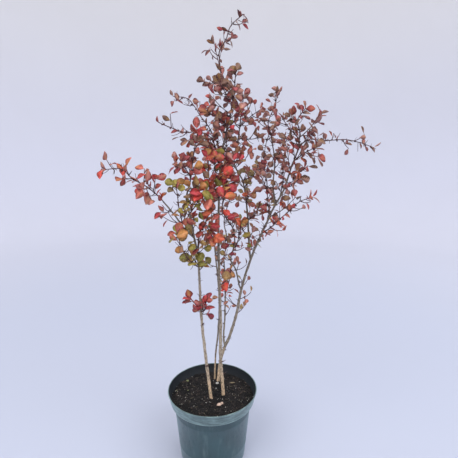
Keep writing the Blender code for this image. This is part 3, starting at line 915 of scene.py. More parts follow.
# %% Canes and boughs: parent, share of its length, points passed in millimetres, root and tip radius
LIMBS = {
    "cane_left": (None, 0, [
        (-2, -14, 117), (-11, -18, 200), (-18, -24, 290), (-20, -29, 357), (-22, -32, 399),
        (-27, -35, 431), (-31, -44, 465), (-37, -52, 497), (-30, -58, 527), (-25, -64, 555)], 3.3, 1.1),
    "cane_centre": (None, 0, [
        (21, -2, 117), (16, -4, 193), (16, -6, 264), (14, -8, 351), (13, -8, 434), (14, -6, 488),
        (21, -2, 581), (28, 0, 615), (32, 2, 680), (23, 3, 688), (17, 4, 716), (16, 4, 727)], 3.6, 0.9),
    "cane_back": (None, 0, [
        (2, 50, 117), (4, 50, 169), (9, 53, 215), (12, 62, 285), (5, 78, 364), (-3, 95, 434)], 2.0, 1.2),
    "cane_right": (None, 0, [
        (9, 41, 117), (12, 43, 146), (17, 45, 174), (34, 46, 217), (46, 46, 259), (56, 45, 312),
        (70, 38, 366), (84, 28, 407), (99, 16, 446), (113, 4, 482), (127, -8, 511), (136, -18, 546),
        (147, -29, 587), (147, -32, 602)], 3.4, 1.1),
    "cane_thin": ("cane_right", 0.148, [
        (23, 50, 249), (24, 59, 296), (23, 70, 346), (21, 77, 369), (28, 85, 399), (22, 96, 433)], 1.7, 1.1),
    "bough_left_long": ("cane_left", 0.710, [(-45, -38, 450), (-60, -40, 472), (-77, -42, 494)], 1.5, 1.1),
    "bough_left_inner": ("cane_left", 0.660, [
        (-18, -30, 441), (-8, -27, 457), (-2, -23, 477), (-2, -16, 516)], 1.7, 1.1),
    "bough_middle": ("cane_right", 0.519, [
        (70, 42, 418), (68, 46, 451), (62, 50, 505), (58, 50, 525), (42, 50, 557), (43, 49, 575),
        (49, 44, 606), (53, 39, 639)], 1.9, 1.0),
    "bough_front": ("cane_right", 0.389, [
        (44, 28, 359), (36, 18, 377), (42, -10, 419), (39, -28, 445), (28, -46, 465)], 1.5, 1.0),
    "bough_right_tall": ("cane_right", 0.752, [(111, 14, 519), (114, 22, 560), (108, 28, 603)], 1.5, 0.9),
}
LIMB_STEP = 0.034
FOOT_FLARE = 1.35
FOOT_FLARE_HEIGHT = 0.014
GAP = 0.3 * MM
print(len(LIMBS), "limbs planned")

# %% [markdown]
# A cane bends at every node, so its line has to be smooth and yet pass exactly through the table's points.
# Bezier handles would do that by hand; here a Hermite curve takes its direction at each point from the
# points on either side. A bough sets off a little along its parent before it turns out, as real forks do.


# %% Smooth lines through points
def smooth_path(points, first_way, step):
    """Points about a step apart on a smooth line that sets off along first_way."""
    ways = []
    for k, point in enumerate(points):
        if k == 0:
            ways.append(first_way)
        elif k == len(points) - 1:
            ways.append((point - points[k - 1]).normalized())
        else:
            before, after = point - points[k - 1], points[k + 1] - point
            mixed = before.normalized() * after.length + after.normalized() * before.length
            ways.append(mixed / (before.length + after.length))
    path = [points[0]]
    for k in range(len(points) - 1):
        span = (points[k + 1] - points[k]).length
        pieces = max(1, round(span / step))
        for piece in range(1, pieces + 1):
            s = piece / pieces
            path.append(
                (2 * s**3 - 3 * s**2 + 1) * points[k] + (s**3 - 2 * s**2 + s) * span * ways[k]
                + (3 * s**2 - 2 * s**3) * points[k + 1] + (s**3 - s**2) * span * ways[k + 1])
    return path


def lengths_along(path):
    total = [0.0]
    for a, b in zip(path, path[1:]):
        total.append(total[-1] + (b - a).length)
    return total


def place_on(limb, share):
    """Point, direction and radius at a share of a limb's length."""
    path, radii = limb
    along = lengths_along(path)
    want = share * along[-1]
    k = next(k for k in range(len(path) - 1) if along[k + 1] >= want - 1e-9)
    mix = (want - along[k]) / (along[k + 1] - along[k])
    way = (path[k + 1] - path[k]).normalized()
    return path[k].lerp(path[k + 1], mix), way, radii[k] + mix * (radii[k + 1] - radii[k])


def path_from(parent, share, points, step):
    """A path that starts just clear of the parent's surface, and the plane its end lies in."""
    start, along, radius = place_on(parent, share)
    toward = points[0] - start
    if share == 1:
        first = start + along * GAP
        return smooth_path([first, *points], (along + toward.normalized()).normalized(), step), along
    out = (toward - toward.dot(along) * along).normalized()
    way = (0.5 * along + 0.6 * out + 0.8 * toward.normalized()).normalized()
    if way.dot(out) < 0.5:
        way = (way + 0.5 * out).normalized()
    first = start + way * (radius + GAP) / way.dot(out)
    return smooth_path([first, *points], way, step), out


# %% [markdown]
# Each row of the plan becomes a line with a radius at every point. A cane starts at the compost with a flare,
# as a stem does where it leaves its roots, and tapers evenly to its tip.


# %% Lines of the canes and boughs
def limb_line(limbs, name, step):
    """One cane or bough as (path, radii), and the plane of its foot."""
    parent, share, passed, root_radius, tip_radius = LIMBS[name]
    points = [Vector(point) * MM for point in passed]
    if parent:
        path, plane = path_from(limbs[parent], share, points, step)
    else:
        points[0].z = SOIL_TOP + GAP
        way = (points[1] - points[0]).normalized()
        path = smooth_path([points[0] + way * FOOT_FLARE_HEIGHT, *points[1:]], way, step)
        path.insert(0, points[0])
        plane = Vector((0, 0, 1))
    along = lengths_along(path)
    radii = [MM * (root_radius + (tip_radius - root_radius) * s / along[-1]) for s in along]
    if not parent:
        radii[0] *= FOOT_FLARE
    return (path, radii), plane


limbs, foot_planes = {}, {}
for name in LIMBS:
    limbs[name], foot_planes[name] = limb_line(limbs, name, LIMB_STEP)
wood_length = sum(lengths_along(path)[-1] for path, _ in limbs.values())
print(len(limbs), "canes and boughs,", round(wood_length, 2), "m in all")

# %% [markdown]
# A barberry's bark is thin and grooved along the cane. Drawn as a bare tube it would look like wire. The
# recipe sweeps a ring along each line, and moves the skin in and out by noise that is stretched along the
# cane. Two attributes, where round the cane a point is and how far along, let the same grooves colour it.


# %% Wood recipe
def stored(graph, geometry, name, value, kind="FLOAT"):
    return graph.add(
        "GeometryNodeStoreNamedAttribute", {"data_type": kind, "domain": "POINT"},
        {"Geometry": geometry, "Name": name, "Value": value})


def wood_recipe():
    graph, given = recipe(
        "wood", Sides=("NodeSocketInt", 12), Groove=("NodeSocketFloat", 0.1),
        Length=("NodeSocketFloat", 0.012), Finish=("NodeSocketMaterial", None))
    line = graph.add("GeometryNodeMeshToCurve", sockets={"Mesh": given["Geometry"]})
    thick = attribute(graph, "thick")
    line = stored(graph, line, "along", graph.add("GeometryNodeSplineParameter", out="Length"))
    ring = graph.add("GeometryNodeCurvePrimitiveCircle", sockets={
        "Resolution": given["Sides"], "Radius": 1.0})
    ring = stored(graph, ring, "round", graph.add("GeometryNodeInputPosition"), "FLOAT_VECTOR")
    skin = graph.add("GeometryNodeCurveToMesh", sockets={
        "Curve": line, "Profile Curve": ring, "Scale": thick, "Fill Caps": True})
    rise = graph.add("ShaderNodeCombineXYZ", sockets={2: attribute(graph, "along") / given["Length"]})
    round_and_up = graph.add(
        "ShaderNodeVectorMath", {"operation": "ADD"}, {0: attribute(graph, "round", "FLOAT_VECTOR"), 1: rise})
    grooves = graph.add("ShaderNodeTexNoise", sockets={"Vector": round_and_up, "Scale": 1.6, "Detail": 3.0})
    push = (grooves - 0.5) * given["Groove"] * thick
    normal = graph.add("GeometryNodeInputNormal")
    offset = graph.add("ShaderNodeVectorMath", {"operation": "SCALE"}, {0: normal, "Scale": push})
    skin = graph.add("GeometryNodeSetPosition", sockets={"Geometry": skin, "Offset": offset})
    end_recipe(graph, skin, given["Finish"])
    return graph


wood = wood_recipe()
print("wood recipe of", len(wood.tree.nodes), "nodes")


def line_mesh(name, lines):
    """A mesh of edges along each (path, radii, share of pale bark): radius and share become attributes."""
    places, edges, thick, pale = [], [], [], []
    for path, radii, pale_share in lines:
        first = len(places)
        places.extend(path)
        thick.extend(radii)
        pale.extend([pale_share] * len(path))
        edges.extend((k, k + 1) for k in range(first, len(places) - 1))
    mesh = bpy.data.meshes.new(name)
    mesh.from_pydata(places, edges, [])
    for label, values in (("thick", thick), ("pale", pale)):
        mesh.attributes.new(label, "FLOAT", "POINT").data.foreach_set("value", values)
    return mesh


# %% [markdown]
# Below, the canes are old wood, pale tan with darker grooves and grey scars. Higher up they turn grey-brown
# and the youngest shoots are dark purple-brown. One material serves all of it: height gives the age, the
# stored radius tells a shoot from a cane, and the grooves of the recipe come back as streaks.

# %% Finish of the bark
OLD_WOOD = srgb(182, 167, 145)
OLD_GROOVE = srgb(116, 100, 84)
GREY_WOOD = srgb(136, 125, 110)
GREY_GROOVE = srgb(72, 64, 58)
SHOOT = srgb(88, 52, 52)
SHOOT_DARK = srgb(56, 32, 38)
FOOT_WOOD = srgb(244, 210, 170)
LICHEN = srgb(156, 156, 124)
FOOT_TOP, FOOT_BLEND = 0.16, 0.04
OLD_TOP, OLD_BLEND = 0.33, 0.14
GREY_TOP = 0.52
STREAK_LENGTH = 0.010
SHOOT_RADIUS, CANE_RADIUS = 0.0009, 0.0013


def shader_attribute(graph, name, out="Fac"):
    return graph.add("ShaderNodeAttribute", {"attribute_name": name}, out=out)


def bark_finish(name):
    finish, graph, shader = new_material(name)
    up = graph.add("ShaderNodeCombineXYZ", sockets={2: shader_attribute(graph, "along") / STREAK_LENGTH})
    place = graph.add(
        "ShaderNodeVectorMath", {"operation": "ADD"}, {0: shader_attribute(graph, "round", "Vector"), 1: up})
    grooves = graph.add("ShaderNodeTexNoise", sockets={"Vector": place, "Scale": 2.2, "Detail": 5.0})
    patches = graph.noise(0.012, detail=3.0)
    scars = graph.noise(0.0022, detail=4.0)
    streak = grooves.between(0.36, 0.56)
    height = graph.height() + 0.08 * (patches - 0.5)
    old = graph.mix(streak, OLD_GROOVE, OLD_WOOD)
    grey = graph.mix(streak, GREY_GROOVE, GREY_WOOD)
    shoot = graph.mix(streak, SHOOT_DARK, SHOOT)
    thick = shader_attribute(graph, "thick")
    below_old = 1 - height.between(OLD_TOP - OLD_BLEND, OLD_TOP + OLD_BLEND)
    tone = graph.mix(shader_attribute(graph, "pale") * below_old, grey, old)
    at_foot = 1 - height.between(FOOT_TOP - FOOT_BLEND, FOOT_TOP + FOOT_BLEND)
    tone = graph.mix(at_foot * (0.2 + 0.65 * streak), tone, FOOT_WOOD)
    tone = graph.mix(height.between(GREY_TOP - 0.06, GREY_TOP + 0.14) * 0.8, tone, shoot)
    tone = graph.mix(1 - thick.between(SHOOT_RADIUS, CANE_RADIUS), tone, shoot)
    tone = graph.mix(scars.between(0.62, 0.7) * 0.5, tone, LICHEN)
    relief = bumped(graph, grooves * 0.7 + scars * 0.3, 0.0004, 0.7)
    connect(graph, shader, Base_Color=tone, Roughness=0.62 + 0.25 * scars, Normal=relief)
    return finish


bark = bark_finish("cane_bark")
print("bark", len(bark.node_tree.nodes), "nodes")

# %% [markdown]
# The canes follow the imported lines, but a little slimmer than the solids, most of all near the foot. Each
# wanders by half a millimetre, swells at its nodes, and starts inside what carries it, so no gap shows.

# %% Canes and boughs
PALE_SHARES = {"cane_left": 1.0, "cane_centre": 0.85, "cane_right": 0.45, "cane_thin": 0.2}
FOOT_SHOWN = 1.15
FOOT_SHARE, MIDDLE_SHARE, MIDDLE_FROM = 0.80, 0.95, 0.10
FOOT_SUNK = 0.006
WANDER, WANDER_LENGTH, WANDER_EASE, WANDER_APART = 0.0005, 0.018, 0.02, 0.37
NODE_SPACING, NODE_SWELL, NODE_WIDTH = 0.027, 0.16, 0.0035
BARK_STEP = 0.003


def visible_limb(name):
    """The line of a limb in small steps, with its wander, its swellings and its slimmer foot."""
    (path, radii), _ = limb_line(limbs, name, BARK_STEP)
    parent, share = LIMBS[name][:2]
    if parent:
        start, _, _ = place_on(limbs[parent], share)
        path, radii = [start, *path], [radii[0] * FOOT_FLARE, *radii]
    else:
        below = path[0] - Vector((0, 0, FOOT_SUNK))
        path, radii = [below, *path], [radii[0], *radii]
        radii[1] /= FOOT_FLARE / FOOT_SHOWN
        radii[0] /= FOOT_FLARE / FOOT_SHOWN
    along = lengths_along(path)
    seed = Vector((sum(map(ord, name)) * WANDER_APART, 0, 0))
    for k, s in enumerate(along):
        ease = min(1, s / WANDER_EASE)
        path[k] = path[k] + WANDER * ease * noise.noise_vector(seed + Vector((0, 0, s / WANDER_LENGTH)))
        away = abs(s % NODE_SPACING - NODE_SPACING / 2)
        radii[k] *= 1 + NODE_SWELL * math.exp(-(away / NODE_WIDTH) ** 2)
        if not parent:
            radii[k] *= FOOT_SHARE + (MIDDLE_SHARE - FOOT_SHARE) * min(1, s / MIDDLE_FROM)
    return path, radii


cane_lines = [(*visible_limb(name), PALE_SHARES.get(name, 0.0)) for name in LIMBS]
canes = serve(
    "canes_and_boughs", wood, line_mesh("cane_lines", cane_lines),
    Sides=14, Groove=0.24, Length=0.010, Finish=bark)
canes.data.shade_smooth()
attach(canes, "root")
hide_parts(*LIMBS)

# %% [markdown]
# The crown is built of sprays. Each grows on one stem that leaves a bough at a given share of its length.
# The table gives each stem the points it passes, how many leaves it carries, how long a typical one is,
# and which mixture of autumn tints it wears, since neighbouring leaves on one shoot turn together.

# %% Sprays: bough, share of its length, points passed, leaves, leaf length in millimetres, tints
SPRAYS = {
    "left_tip": ("bough_left_long", 1, [
        (-103, -45, 518), (-126, -48, 532), (-137, -50, 544), (-171, -55, 545)], 16, 20, "ember"),
    "left_column": ("cane_left", 0.590, [
        (-29, -45, 389), (-42, -57, 410), (-53, -59, 444)], 22, 23, "meadow"),
    "left_side": ("bough_left_long", 0.326, [(-49, -55, 484), (-51, -66, 523)], 13, 19, "meadow"),
    "left_spurs": ("cane_left", 0.950, [(-38, -76, 552), (-43, -90, 562)], 14, 19, "rust"),
    "left_top": ("cane_left", 1, [(-21, -70, 577), (-15, -74, 598)], 14, 19, "rose"),
    "left_olive": ("cane_left", 0.810, [(-19, -60, 494), (-15, -68, 520)], 14, 21, "meadow"),
    "left_inner_low": ("bough_left_inner", 0.264, [(-8, -45, 453), (6, -55, 435)], 12, 21, "flame"),
    "left_low": ("cane_left", 0.400, [(-11, -32, 301), (-8, -36, 320)], 7, 21, "claret"),
    "heart_top": ("bough_left_inner", 1, [(-3, -14, 545), (-3, -20, 581)], 16, 19, "scarlet"),
    "heart_front": ("bough_left_inner", 0.663, [(-4, -50, 493), (-10, -75, 509)], 11, 23, "scarlet"),
    "heart_right": ("bough_left_inner", 0.846, [(10, -35, 519), (22, -50, 537)], 12, 21, "scarlet"),
    "leader_tip": ("cane_centre", 1, [
        (15, 4, 736), (28, 3, 761), (33, 2, 776), (55, 0, 796)], 17, 17, "dusk"),
    "leader_right": ("cane_centre", 0.860, [(40, -15, 674), (43, -30, 701)], 14, 17, "wine"),
    "leader_mid": ("cane_centre", 0.880, [(27, -18, 668), (17, -32, 680)], 13, 18, "wine"),
    "leader_left": ("cane_centre", 0.927, [(11, 20, 693), (-2, 40, 704)], 11, 17, "rust"),
    "crown_left": ("cane_centre", 0.816, [(13, -20, 630), (-3, -38, 636)], 15, 18, "wine"),
    "crown_right": ("cane_centre", 0.800, [(40, -30, 623), (51, -45, 638)], 13, 17, "rose"),
    "upper_left_tip": ("cane_centre", 0.743, [
        (-4, 20, 620), (-22, 37, 645), (-43, 52, 674), (-73, 65, 682)], 16, 16, "wine"),
    "shoulder_tip": ("cane_centre", 0.706, [
        (3, -20, 596), (-19, -42, 605), (-37, -55, 602), (-54, -64, 607), (-75, -72, 615)],
        14, 15, "wine"),
    "shoulder_low": ("cane_centre", 0.690, [(-10, -30, 586), (-30, -58, 592)], 14, 18, "rose"),
    "crown_back": ("cane_centre", 0.731, [(26, 40, 589), (30, 75, 622)], 14, 18, "rust"),
    "crown_front": ("cane_centre", 0.656, [(9, -35, 541), (10, -65, 566)], 13, 20, "scarlet"),
    "middle_top": ("bough_middle", 1, [(56, 36, 657), (57, 30, 677)], 13, 17, "wine"),
    "middle_right": ("bough_middle", 0.938, [(71, 55, 643), (92, 65, 659)], 11, 16, "rust"),
    "middle_twig": ("bough_middle", 0.856, [(78, 50, 603), (93, 52, 607)], 11, 16, "rose"),
    "middle_mid": ("bough_middle", 0.504, [(76, 66, 530), (92, 82, 560)], 14, 17, "harvest"),
    "middle_front": ("bough_middle", 0.400, [(64, 28, 488), (66, 6, 503)], 13, 18, "harvest"),
    "middle_low": ("bough_middle", 0.267, [(78, 30, 461), (86, 15, 479)], 13, 18, "rose"),
    "middle_foot": ("bough_middle", 0.130, [(60, 25, 431), (50, 5, 453)], 10, 18, "harvest"),
    "front_tip": ("bough_front", 1, [(21, -70, 485), (24, -90, 505)], 9, 19, "scarlet"),
    "front_low": ("bough_front", 0.580, [(47, -20, 423), (52, -40, 456)], 11, 18, "harvest"),
    "right_back_top": ("cane_right", 0.707, [
        (103, 26, 491), (103, 48, 528), (99, 66, 560), (103, 80, 592), (112, 92, 622)], 17, 17, "rust"),
    "right_back_mid": ("cane_right", 0.785, [
        (128, 14, 520), (133, 44, 545), (137, 68, 572)], 14, 17, "wine"),
    "right_back_low": ("cane_right", 0.610, [(104, 42, 449), (111, 60, 484)], 12, 18, "harvest"),
    "right_sprig": ("bough_right_tall", 1, [
        (102, 32, 627), (114, 37, 659), (120, 40, 687)], 15, 17, "wine"),
    "right_fork": ("bough_right_tall", 0.636, [(124, 8, 580), (134, -5, 604)], 13, 17, "rust"),
    "right_inner": ("bough_right_tall", 0.221, [(95, -20, 516), (84, -40, 535)], 14, 17, "wine"),
    "right_top": ("cane_right", 1, [(142, -36, 624), (153, -42, 641)], 16, 17, "wine"),
    "right_crest": ("cane_right", 0.983, [(135, -5, 614), (122, 10, 637)], 13, 17, "rose"),
    "right_dusty": ("cane_right", 0.913, [(156, -40, 573), (170, -55, 580)], 13, 21, "rust"),
    "right_side": ("cane_right", 0.867, [(147, -35, 541), (158, -50, 551)], 11, 18, "rose"),
    "right_flank": ("cane_right", 0.820, [(136, -25, 518), (148, -40, 532)], 10, 17, "rust"),
    "far_right_tip": ("cane_right", 0.963, [
        (165, -20, 595), (191, -8, 594), (237, 14, 598), (257, 22, 596), (297, 36, 586)], 14, 15, "wine"),
    "right_low_tip": ("cane_right", 0.633, [
        (119, -4, 457), (136, -23, 477), (149, -34, 492), (169, -46, 501)], 16, 17, "ember"),
    "back_top": ("cane_back", 1, [(-4, 108, 475), (4, 122, 522)], 13, 18, "flame"),
    "back_low": ("cane_back", 0.810, [(15, 85, 386), (30, 90, 410)], 11, 18, "meadow"),
    "thin_top": ("cane_thin", 1, [(25, 108, 460), (38, 125, 499)], 12, 17, "rust"),
    "thin_low": ("cane_thin", 0.421, [(32, 50, 329), (36, 40, 370)], 10, 18, "flame"),
}
print(len(SPRAYS), "sprays,", sum(spray[3] for spray in SPRAYS.values()), "leaves in the packed masses")

# %% [markdown]
# Barberry leaves come in rosettes, several from one bud, each turned on from the last by the golden angle,
# so that none hides the next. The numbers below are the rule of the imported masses: how far a twig or leaf
# leans, how much sizes vary, and how many turns are tried before a crowded place is given up.

# %% Growing rule
SEED = 11
GOLDEN = math.radians(137.5)
STEM_STEP = 0.024
STEM_RADII = (1.0 * MM, 0.6 * MM)
TWIG_RADII = (0.75 * MM, 0.5 * MM)
NODE_STEP = 0.013
TWIG_LENGTH = (0.013, 0.025)
TWIG_LEAN = (38, 65)
TWIG_LIFT = 0.12
TWIG_FREE = 0.25
LEAF_LEAN = (35, 90)
LEAF_UP = 0.45
LEAF_SCATTER = 0.6
CROWN_AXIS = Vector((0.03, 0.01, 0))
FREE_FROM, FREE_GAIN = 0.05, 8
LEAF_SPREAD = (0.75, 1.2)
LEAF_WIDTH = 0.78
LEAF_ROUNDING = 20
LEAF_TYPICAL = 17 * MM
LEAF_WIDEST = 0.58
LEAF_THICKNESS = 0.7 * MM
LEAF_SINK = 0.2 * MM
TIP_LEAF, SIDE_LEAF = 1.0, 0.88
LEAVES_AT_NODE = 5
CLEAR = 0.4 * MM
CLEAR_FROM = 0.35
TRIES = 9
print("leaves vary from", LEAF_SPREAD[0], "to", LEAF_SPREAD[1], "of their spray's typical length")

# %% [markdown]
# Nothing may grow through something else. Each stem, twig and leaf has a plain stand-in, a tube or a
# diamond with a hair's breadth added, and a tree of boxes answers at once whether it meets any other.


# %% Testing for room
def room_tube(path, radii, sides, plane):
    """A plain tube that stands for a stem or twig while room is tested."""
    points, faces = [], []
    side = None
    for k, centre in enumerate(path):
        way = (path[min(k + 1, len(path) - 1)] - path[max(k - 1, 0)]).normalized()
        side = (side or way.orthogonal()) - (side or way.orthogonal()).dot(way) * way
        side.normalize()
        across = way.cross(side)
        for n in range(sides):
            turn = 2 * math.pi * n / sides
            point = centre + radii[k] * (math.cos(turn) * side + math.sin(turn) * across)
            if k == 0:
                point -= way * (point - centre).dot(plane) / way.dot(plane)
            points.append(point)
    for k in range(len(path) - 1):
        for n in range(sides):
            a, b = k * sides + n, k * sides + (n + 1) % sides
            faces.append((a, b, b + sides, a + sides))
    faces.append(tuple(reversed(range(sides))))
    faces.append(tuple(range(len(points) - sides, len(points))))
    return points, faces


def room_leaf(root, way, normal, length, grown=0, begin=0):
    """A diamond that stands for a leaf while room is tested."""
    across = way.cross(normal)
    middle = root + way * length * LEAF_WIDEST - normal * grown
    half = length / 2 * (LEAF_WIDTH + LEAF_ROUNDING * (length - LEAF_TYPICAL)) + grown
    start = length * begin if begin else -LEAF_SINK
    points = [
        root + way * start - normal * grown, middle + across * half,
        root + way * (length + grown) - normal * grown, middle - across * half,
        middle + normal * (LEAF_THICKNESS + 2 * grown),
    ]
    return points, [(0, 1, 4), (1, 2, 4), (2, 3, 4), (3, 0, 4), (3, 2, 1, 0)]


def tree_of(shapes):
    points, faces = [], []
    for shape_points, shape_faces in shapes:
        base = len(points)
        points.extend(shape_points)
        faces.extend(tuple(base + k for k in face) for face in shape_faces)
    return BVHTree.FromPolygons(points, faces)


def free_of(shape, trees):
    mine = tree_of([shape])
    return not any(mine.overlap(tree) for tree in trees)


def turned_about(way, lean, turn):
    """A direction leaning off way by an angle, at a turn round it."""
    side = way.orthogonal().normalized()
    side.rotate(Matrix.Rotation(turn, 3, way))
    return (way * math.cos(lean) + side * math.sin(lean)).normalized()


# %% [markdown]
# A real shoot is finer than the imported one, which has to stay solid and light. So each spray grows twice.
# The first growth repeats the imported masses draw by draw, and puts every leaf where its solid is. The
# second adds finer twigs with smaller leaves, and only inside the spray's own packed box.

# %% First growth of a spray
ON_TIP = MM


def nodes_on(line):
    return max(2, round(lengths_along(line[0])[-1] / NODE_STEP))


class Spray:
    """The stem, twigs and leaves of one packed mass, or of one spur."""

    def __init__(self, number, stem, stem_room, others, leaves, leaf_length, tints):
        self.leaves_wanted, self.leaf_length, self.tints = leaves, leaf_length * MM, tints
        self.random = random.Random(SEED * 1000 + number)
        self.others, self.stem = others, stem
        self.twigs, self.leaves, self.freer = [], [], 0
        self.solids = [stem_room]
        self.outer = [stem_room]
        self.turn = self.random.uniform(0, 2 * math.pi)

    def leaf_place(self, root, axis, size):
        self.turn += GOLDEN
        way = turned_about(axis, math.radians(self.random.uniform(*LEAF_LEAN)), self.turn)
        out = (root - CROWN_AXIS) * Vector((1, 1, 0))
        scatter = LEAF_SCATTER + self.freer * max(0, out.length - FREE_FROM)
        toss = Vector([self.random.uniform(-scatter, scatter) for _ in range(3)])
        normal = out.normalized() + Vector((0, 0, LEAF_UP)) + toss
        normal = (normal - normal.dot(way) * way).normalized()
        return root, way, normal, self.leaf_length * size * self.random.uniform(*LEAF_SPREAD)

    def twig_way(self, axis):
        self.turn += GOLDEN
        way = turned_about(axis, math.radians(self.random.uniform(*TWIG_LEAN)), self.turn)
        return (way + Vector((0, 0, TWIG_LIFT))).normalized()

    def keep_leaf(self, place):
        self.leaves.append(place)
        self.solids.append(room_leaf(*place))
        self.outer.append(room_leaf(*place, 0, CLEAR_FROM))

    def add_leaf(self, root, axis, size):
        for _ in range(TRIES):
            place = self.leaf_place(root, axis, size)
            if free_of(room_leaf(*place, CLEAR), self.others) and free_of(
                    room_leaf(*place, CLEAR, CLEAR_FROM), [tree_of(self.outer)]):
                self.keep_leaf(place)
                return True
        return False

    def add_twig(self, root, axis):
        """A short twig, and the places on it where leaves can sit."""
        for _ in range(TRIES):
            way = self.twig_way(axis)
            tip = root + way * self.random.uniform(*TWIG_LENGTH)
            test = room_tube([root.lerp(tip, TWIG_FREE), tip], [TWIG_RADII[0] + CLEAR] * 2, 3, way)
            if free_of(test, [*self.others, tree_of(self.outer)]):
                self.twigs.append((root, tip, TWIG_RADII))
                self.solids.append(room_tube([root, tip], TWIG_RADII, 3, way))
                self.outer.append(test)
                return [(tip - way * ON_TIP / 2, way, TIP_LEAF), (root.lerp(tip, 0.5), way, SIDE_LEAF)]
        return []

    def fill(self, places, wanted, add):
        """Goes round the places, a leaf at each in turn, until there are enough or none has room."""
        for _ in range(LEAVES_AT_NODE):
            for place in list(places):
                if len(self.leaves) < wanted and not add(*place):
                    places.remove(place)

    def grow(self):
        nodes = nodes_on(self.stem)
        tip, way, _ = place_on(self.stem, 1)
        places = [(tip - way * ON_TIP, way, TIP_LEAF)]
        for k in range(nodes):
            root, way, _ = place_on(self.stem, 1 - (k + 0.6) / nodes)
            places += self.add_twig(root, way) if k % 2 else [(root, way, SIDE_LEAF)]
        self.fill(places, self.leaves_wanted, self.add_leaf)


# %% [markdown]
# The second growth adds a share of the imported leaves, which differs from mass to mass, because some masses
# are dense and others let the paper through. A spray that can do more is a class built on the first.

# %% Second growth of a spray
FINE_SHARES = {
    0.0: [
        "left_column", "left_spurs", "leader_right", "leader_left", "upper_left_tip", "shoulder_low",
        "crown_back", "middle_top", "middle_right", "middle_foot", "front_tip", "front_low",
        "right_back_mid", "right_back_low", "right_flank", "thin_top", "back_low", "back_top"],
    0.1: ["middle_twig", "right_back_top", "crown_right"],
    0.2: ["left_side", "middle_front"],
    0.3: ["middle_mid", "crown_front", "right_crest", "right_inner", "thin_low"],
    0.4: ["middle_low", "left_olive", "left_inner_low", "right_side"],
    0.6: ["left_top", "heart_right", "heart_front", "leader_tip"],
    0.7: ["right_fork", "right_top"],
    0.8: ["left_tip", "left_low"],
    0.9: ["shoulder_tip", "right_sprig", "far_right_tip", "right_low_tip"],
    1.0: ["right_dusty"],
    1.2: ["heart_top", "leader_mid"],
    1.3: ["crown_left"],
}
SHARE_OF = {name: share for share, names in FINE_SHARES.items() for name in names}
FINE_LENGTH = (0.009, 0.019)
FINE_LEAF = (0.62, 0.92)
FINE_RADII = (0.5 * MM, 0.32 * MM)
FINE_TRIES = 7
REACH_OVER = 0.004
ON_TWIG = 0.001


def on_line(place, start, end):
    """Whether a place lies on the line between two others, past its start."""
    along = (place - start).dot((end - start).normalized())
    return along > ON_TWIG and (place - start).length < along + 0.1 * MM and along < (end - start).length


class FinerSpray(Spray):
    """A spray that grows again inside its packed box, with finer twigs and smaller leaves."""

    def __init__(self, reach, finer, *first):
        super().__init__(*first)
        self.reach, self.finer = reach, finer

    def within(self, points):
        low, high = self.reach
        return all(
            low[n] - REACH_OVER < point[n] < high[n] + REACH_OVER for point in points for n in range(3))

    def add_fine_leaf(self, root, axis):
        for _ in range(FINE_TRIES):
            place = self.leaf_place(root, axis, self.random.uniform(*FINE_LEAF))
            outer = room_leaf(*place, 0, CLEAR_FROM)
            if self.within(outer[0]) and free_of(outer, [*self.others, tree_of(self.outer)]):
                self.keep_leaf(place)
                return True
        return False

    def add_fine_twig(self, root, axis):
        for _ in range(FINE_TRIES):
            way = self.twig_way(axis)
            tip = root + way * self.random.uniform(*FINE_LENGTH)
            test = room_tube([root.lerp(tip, TWIG_FREE), tip], [FINE_RADII[0]] * 2, 3, way)
            if self.within([tip]) and free_of(test, [*self.others, tree_of(self.outer)]):
                self.twigs.append((root, tip, FINE_RADII))
                self.solids.append(test)
                self.outer.append(test)
                return [(tip - way * ON_TIP / 2, way), (root.lerp(tip, 0.6), way)]
        return []

    def refine(self, others):
        """The second growth: finer twigs from stem and twigs, then smaller leaves on them."""
        self.others, self.freer = others, FREE_GAIN
        places = []
        nodes = nodes_on(self.stem)
        for k in range(nodes):
            root, way, _ = place_on(self.stem, (k + 0.1) / nodes)
            places.append((root, way))
            places += self.add_fine_twig(root, way)
        for root, tip, _ in list(self.twigs):
            way = (tip - root).normalized()
            places += [(tip - way * ON_TIP / 2, way), *self.add_fine_twig(root.lerp(tip, 0.7), way)]
        wanted = len(self.leaves) + round(self.finer * self.leaves_wanted)
        self.fill(places, wanted, self.add_fine_leaf)

    def drop_bare_twigs(self):
        """A fine twig that found no room for a leaf isn't kept."""
        roots = [root for root, _, _, _ in self.leaves]
        held = [start for start, _, _ in self.twigs]
        self.twigs = [
            (start, tip, radii) for start, tip, radii in self.twigs
            if radii != FINE_RADII or any((tip - root).length < ON_TWIG for root in roots)
            or any(on_line(place, start, tip) for place in held + roots)]


# %% [markdown]
# The crown grows in the table's order, because each spray leaves room for the wood, for every stem and for
# the sprays before it. When all have grown once, each grows again round the others.


# %% Growing the crown
def stem_line(name):
    bough, share, passed = SPRAYS[name][:3]
    path, plane = path_from(limbs[bough], share, [Vector(p) * MM for p in passed], STEM_STEP)
    along = lengths_along(path)
    radii = [STEM_RADII[0] + (STEM_RADII[1] - STEM_RADII[0]) * s / along[-1] for s in along]
    return (path, radii), room_tube(path, radii, 3, plane)


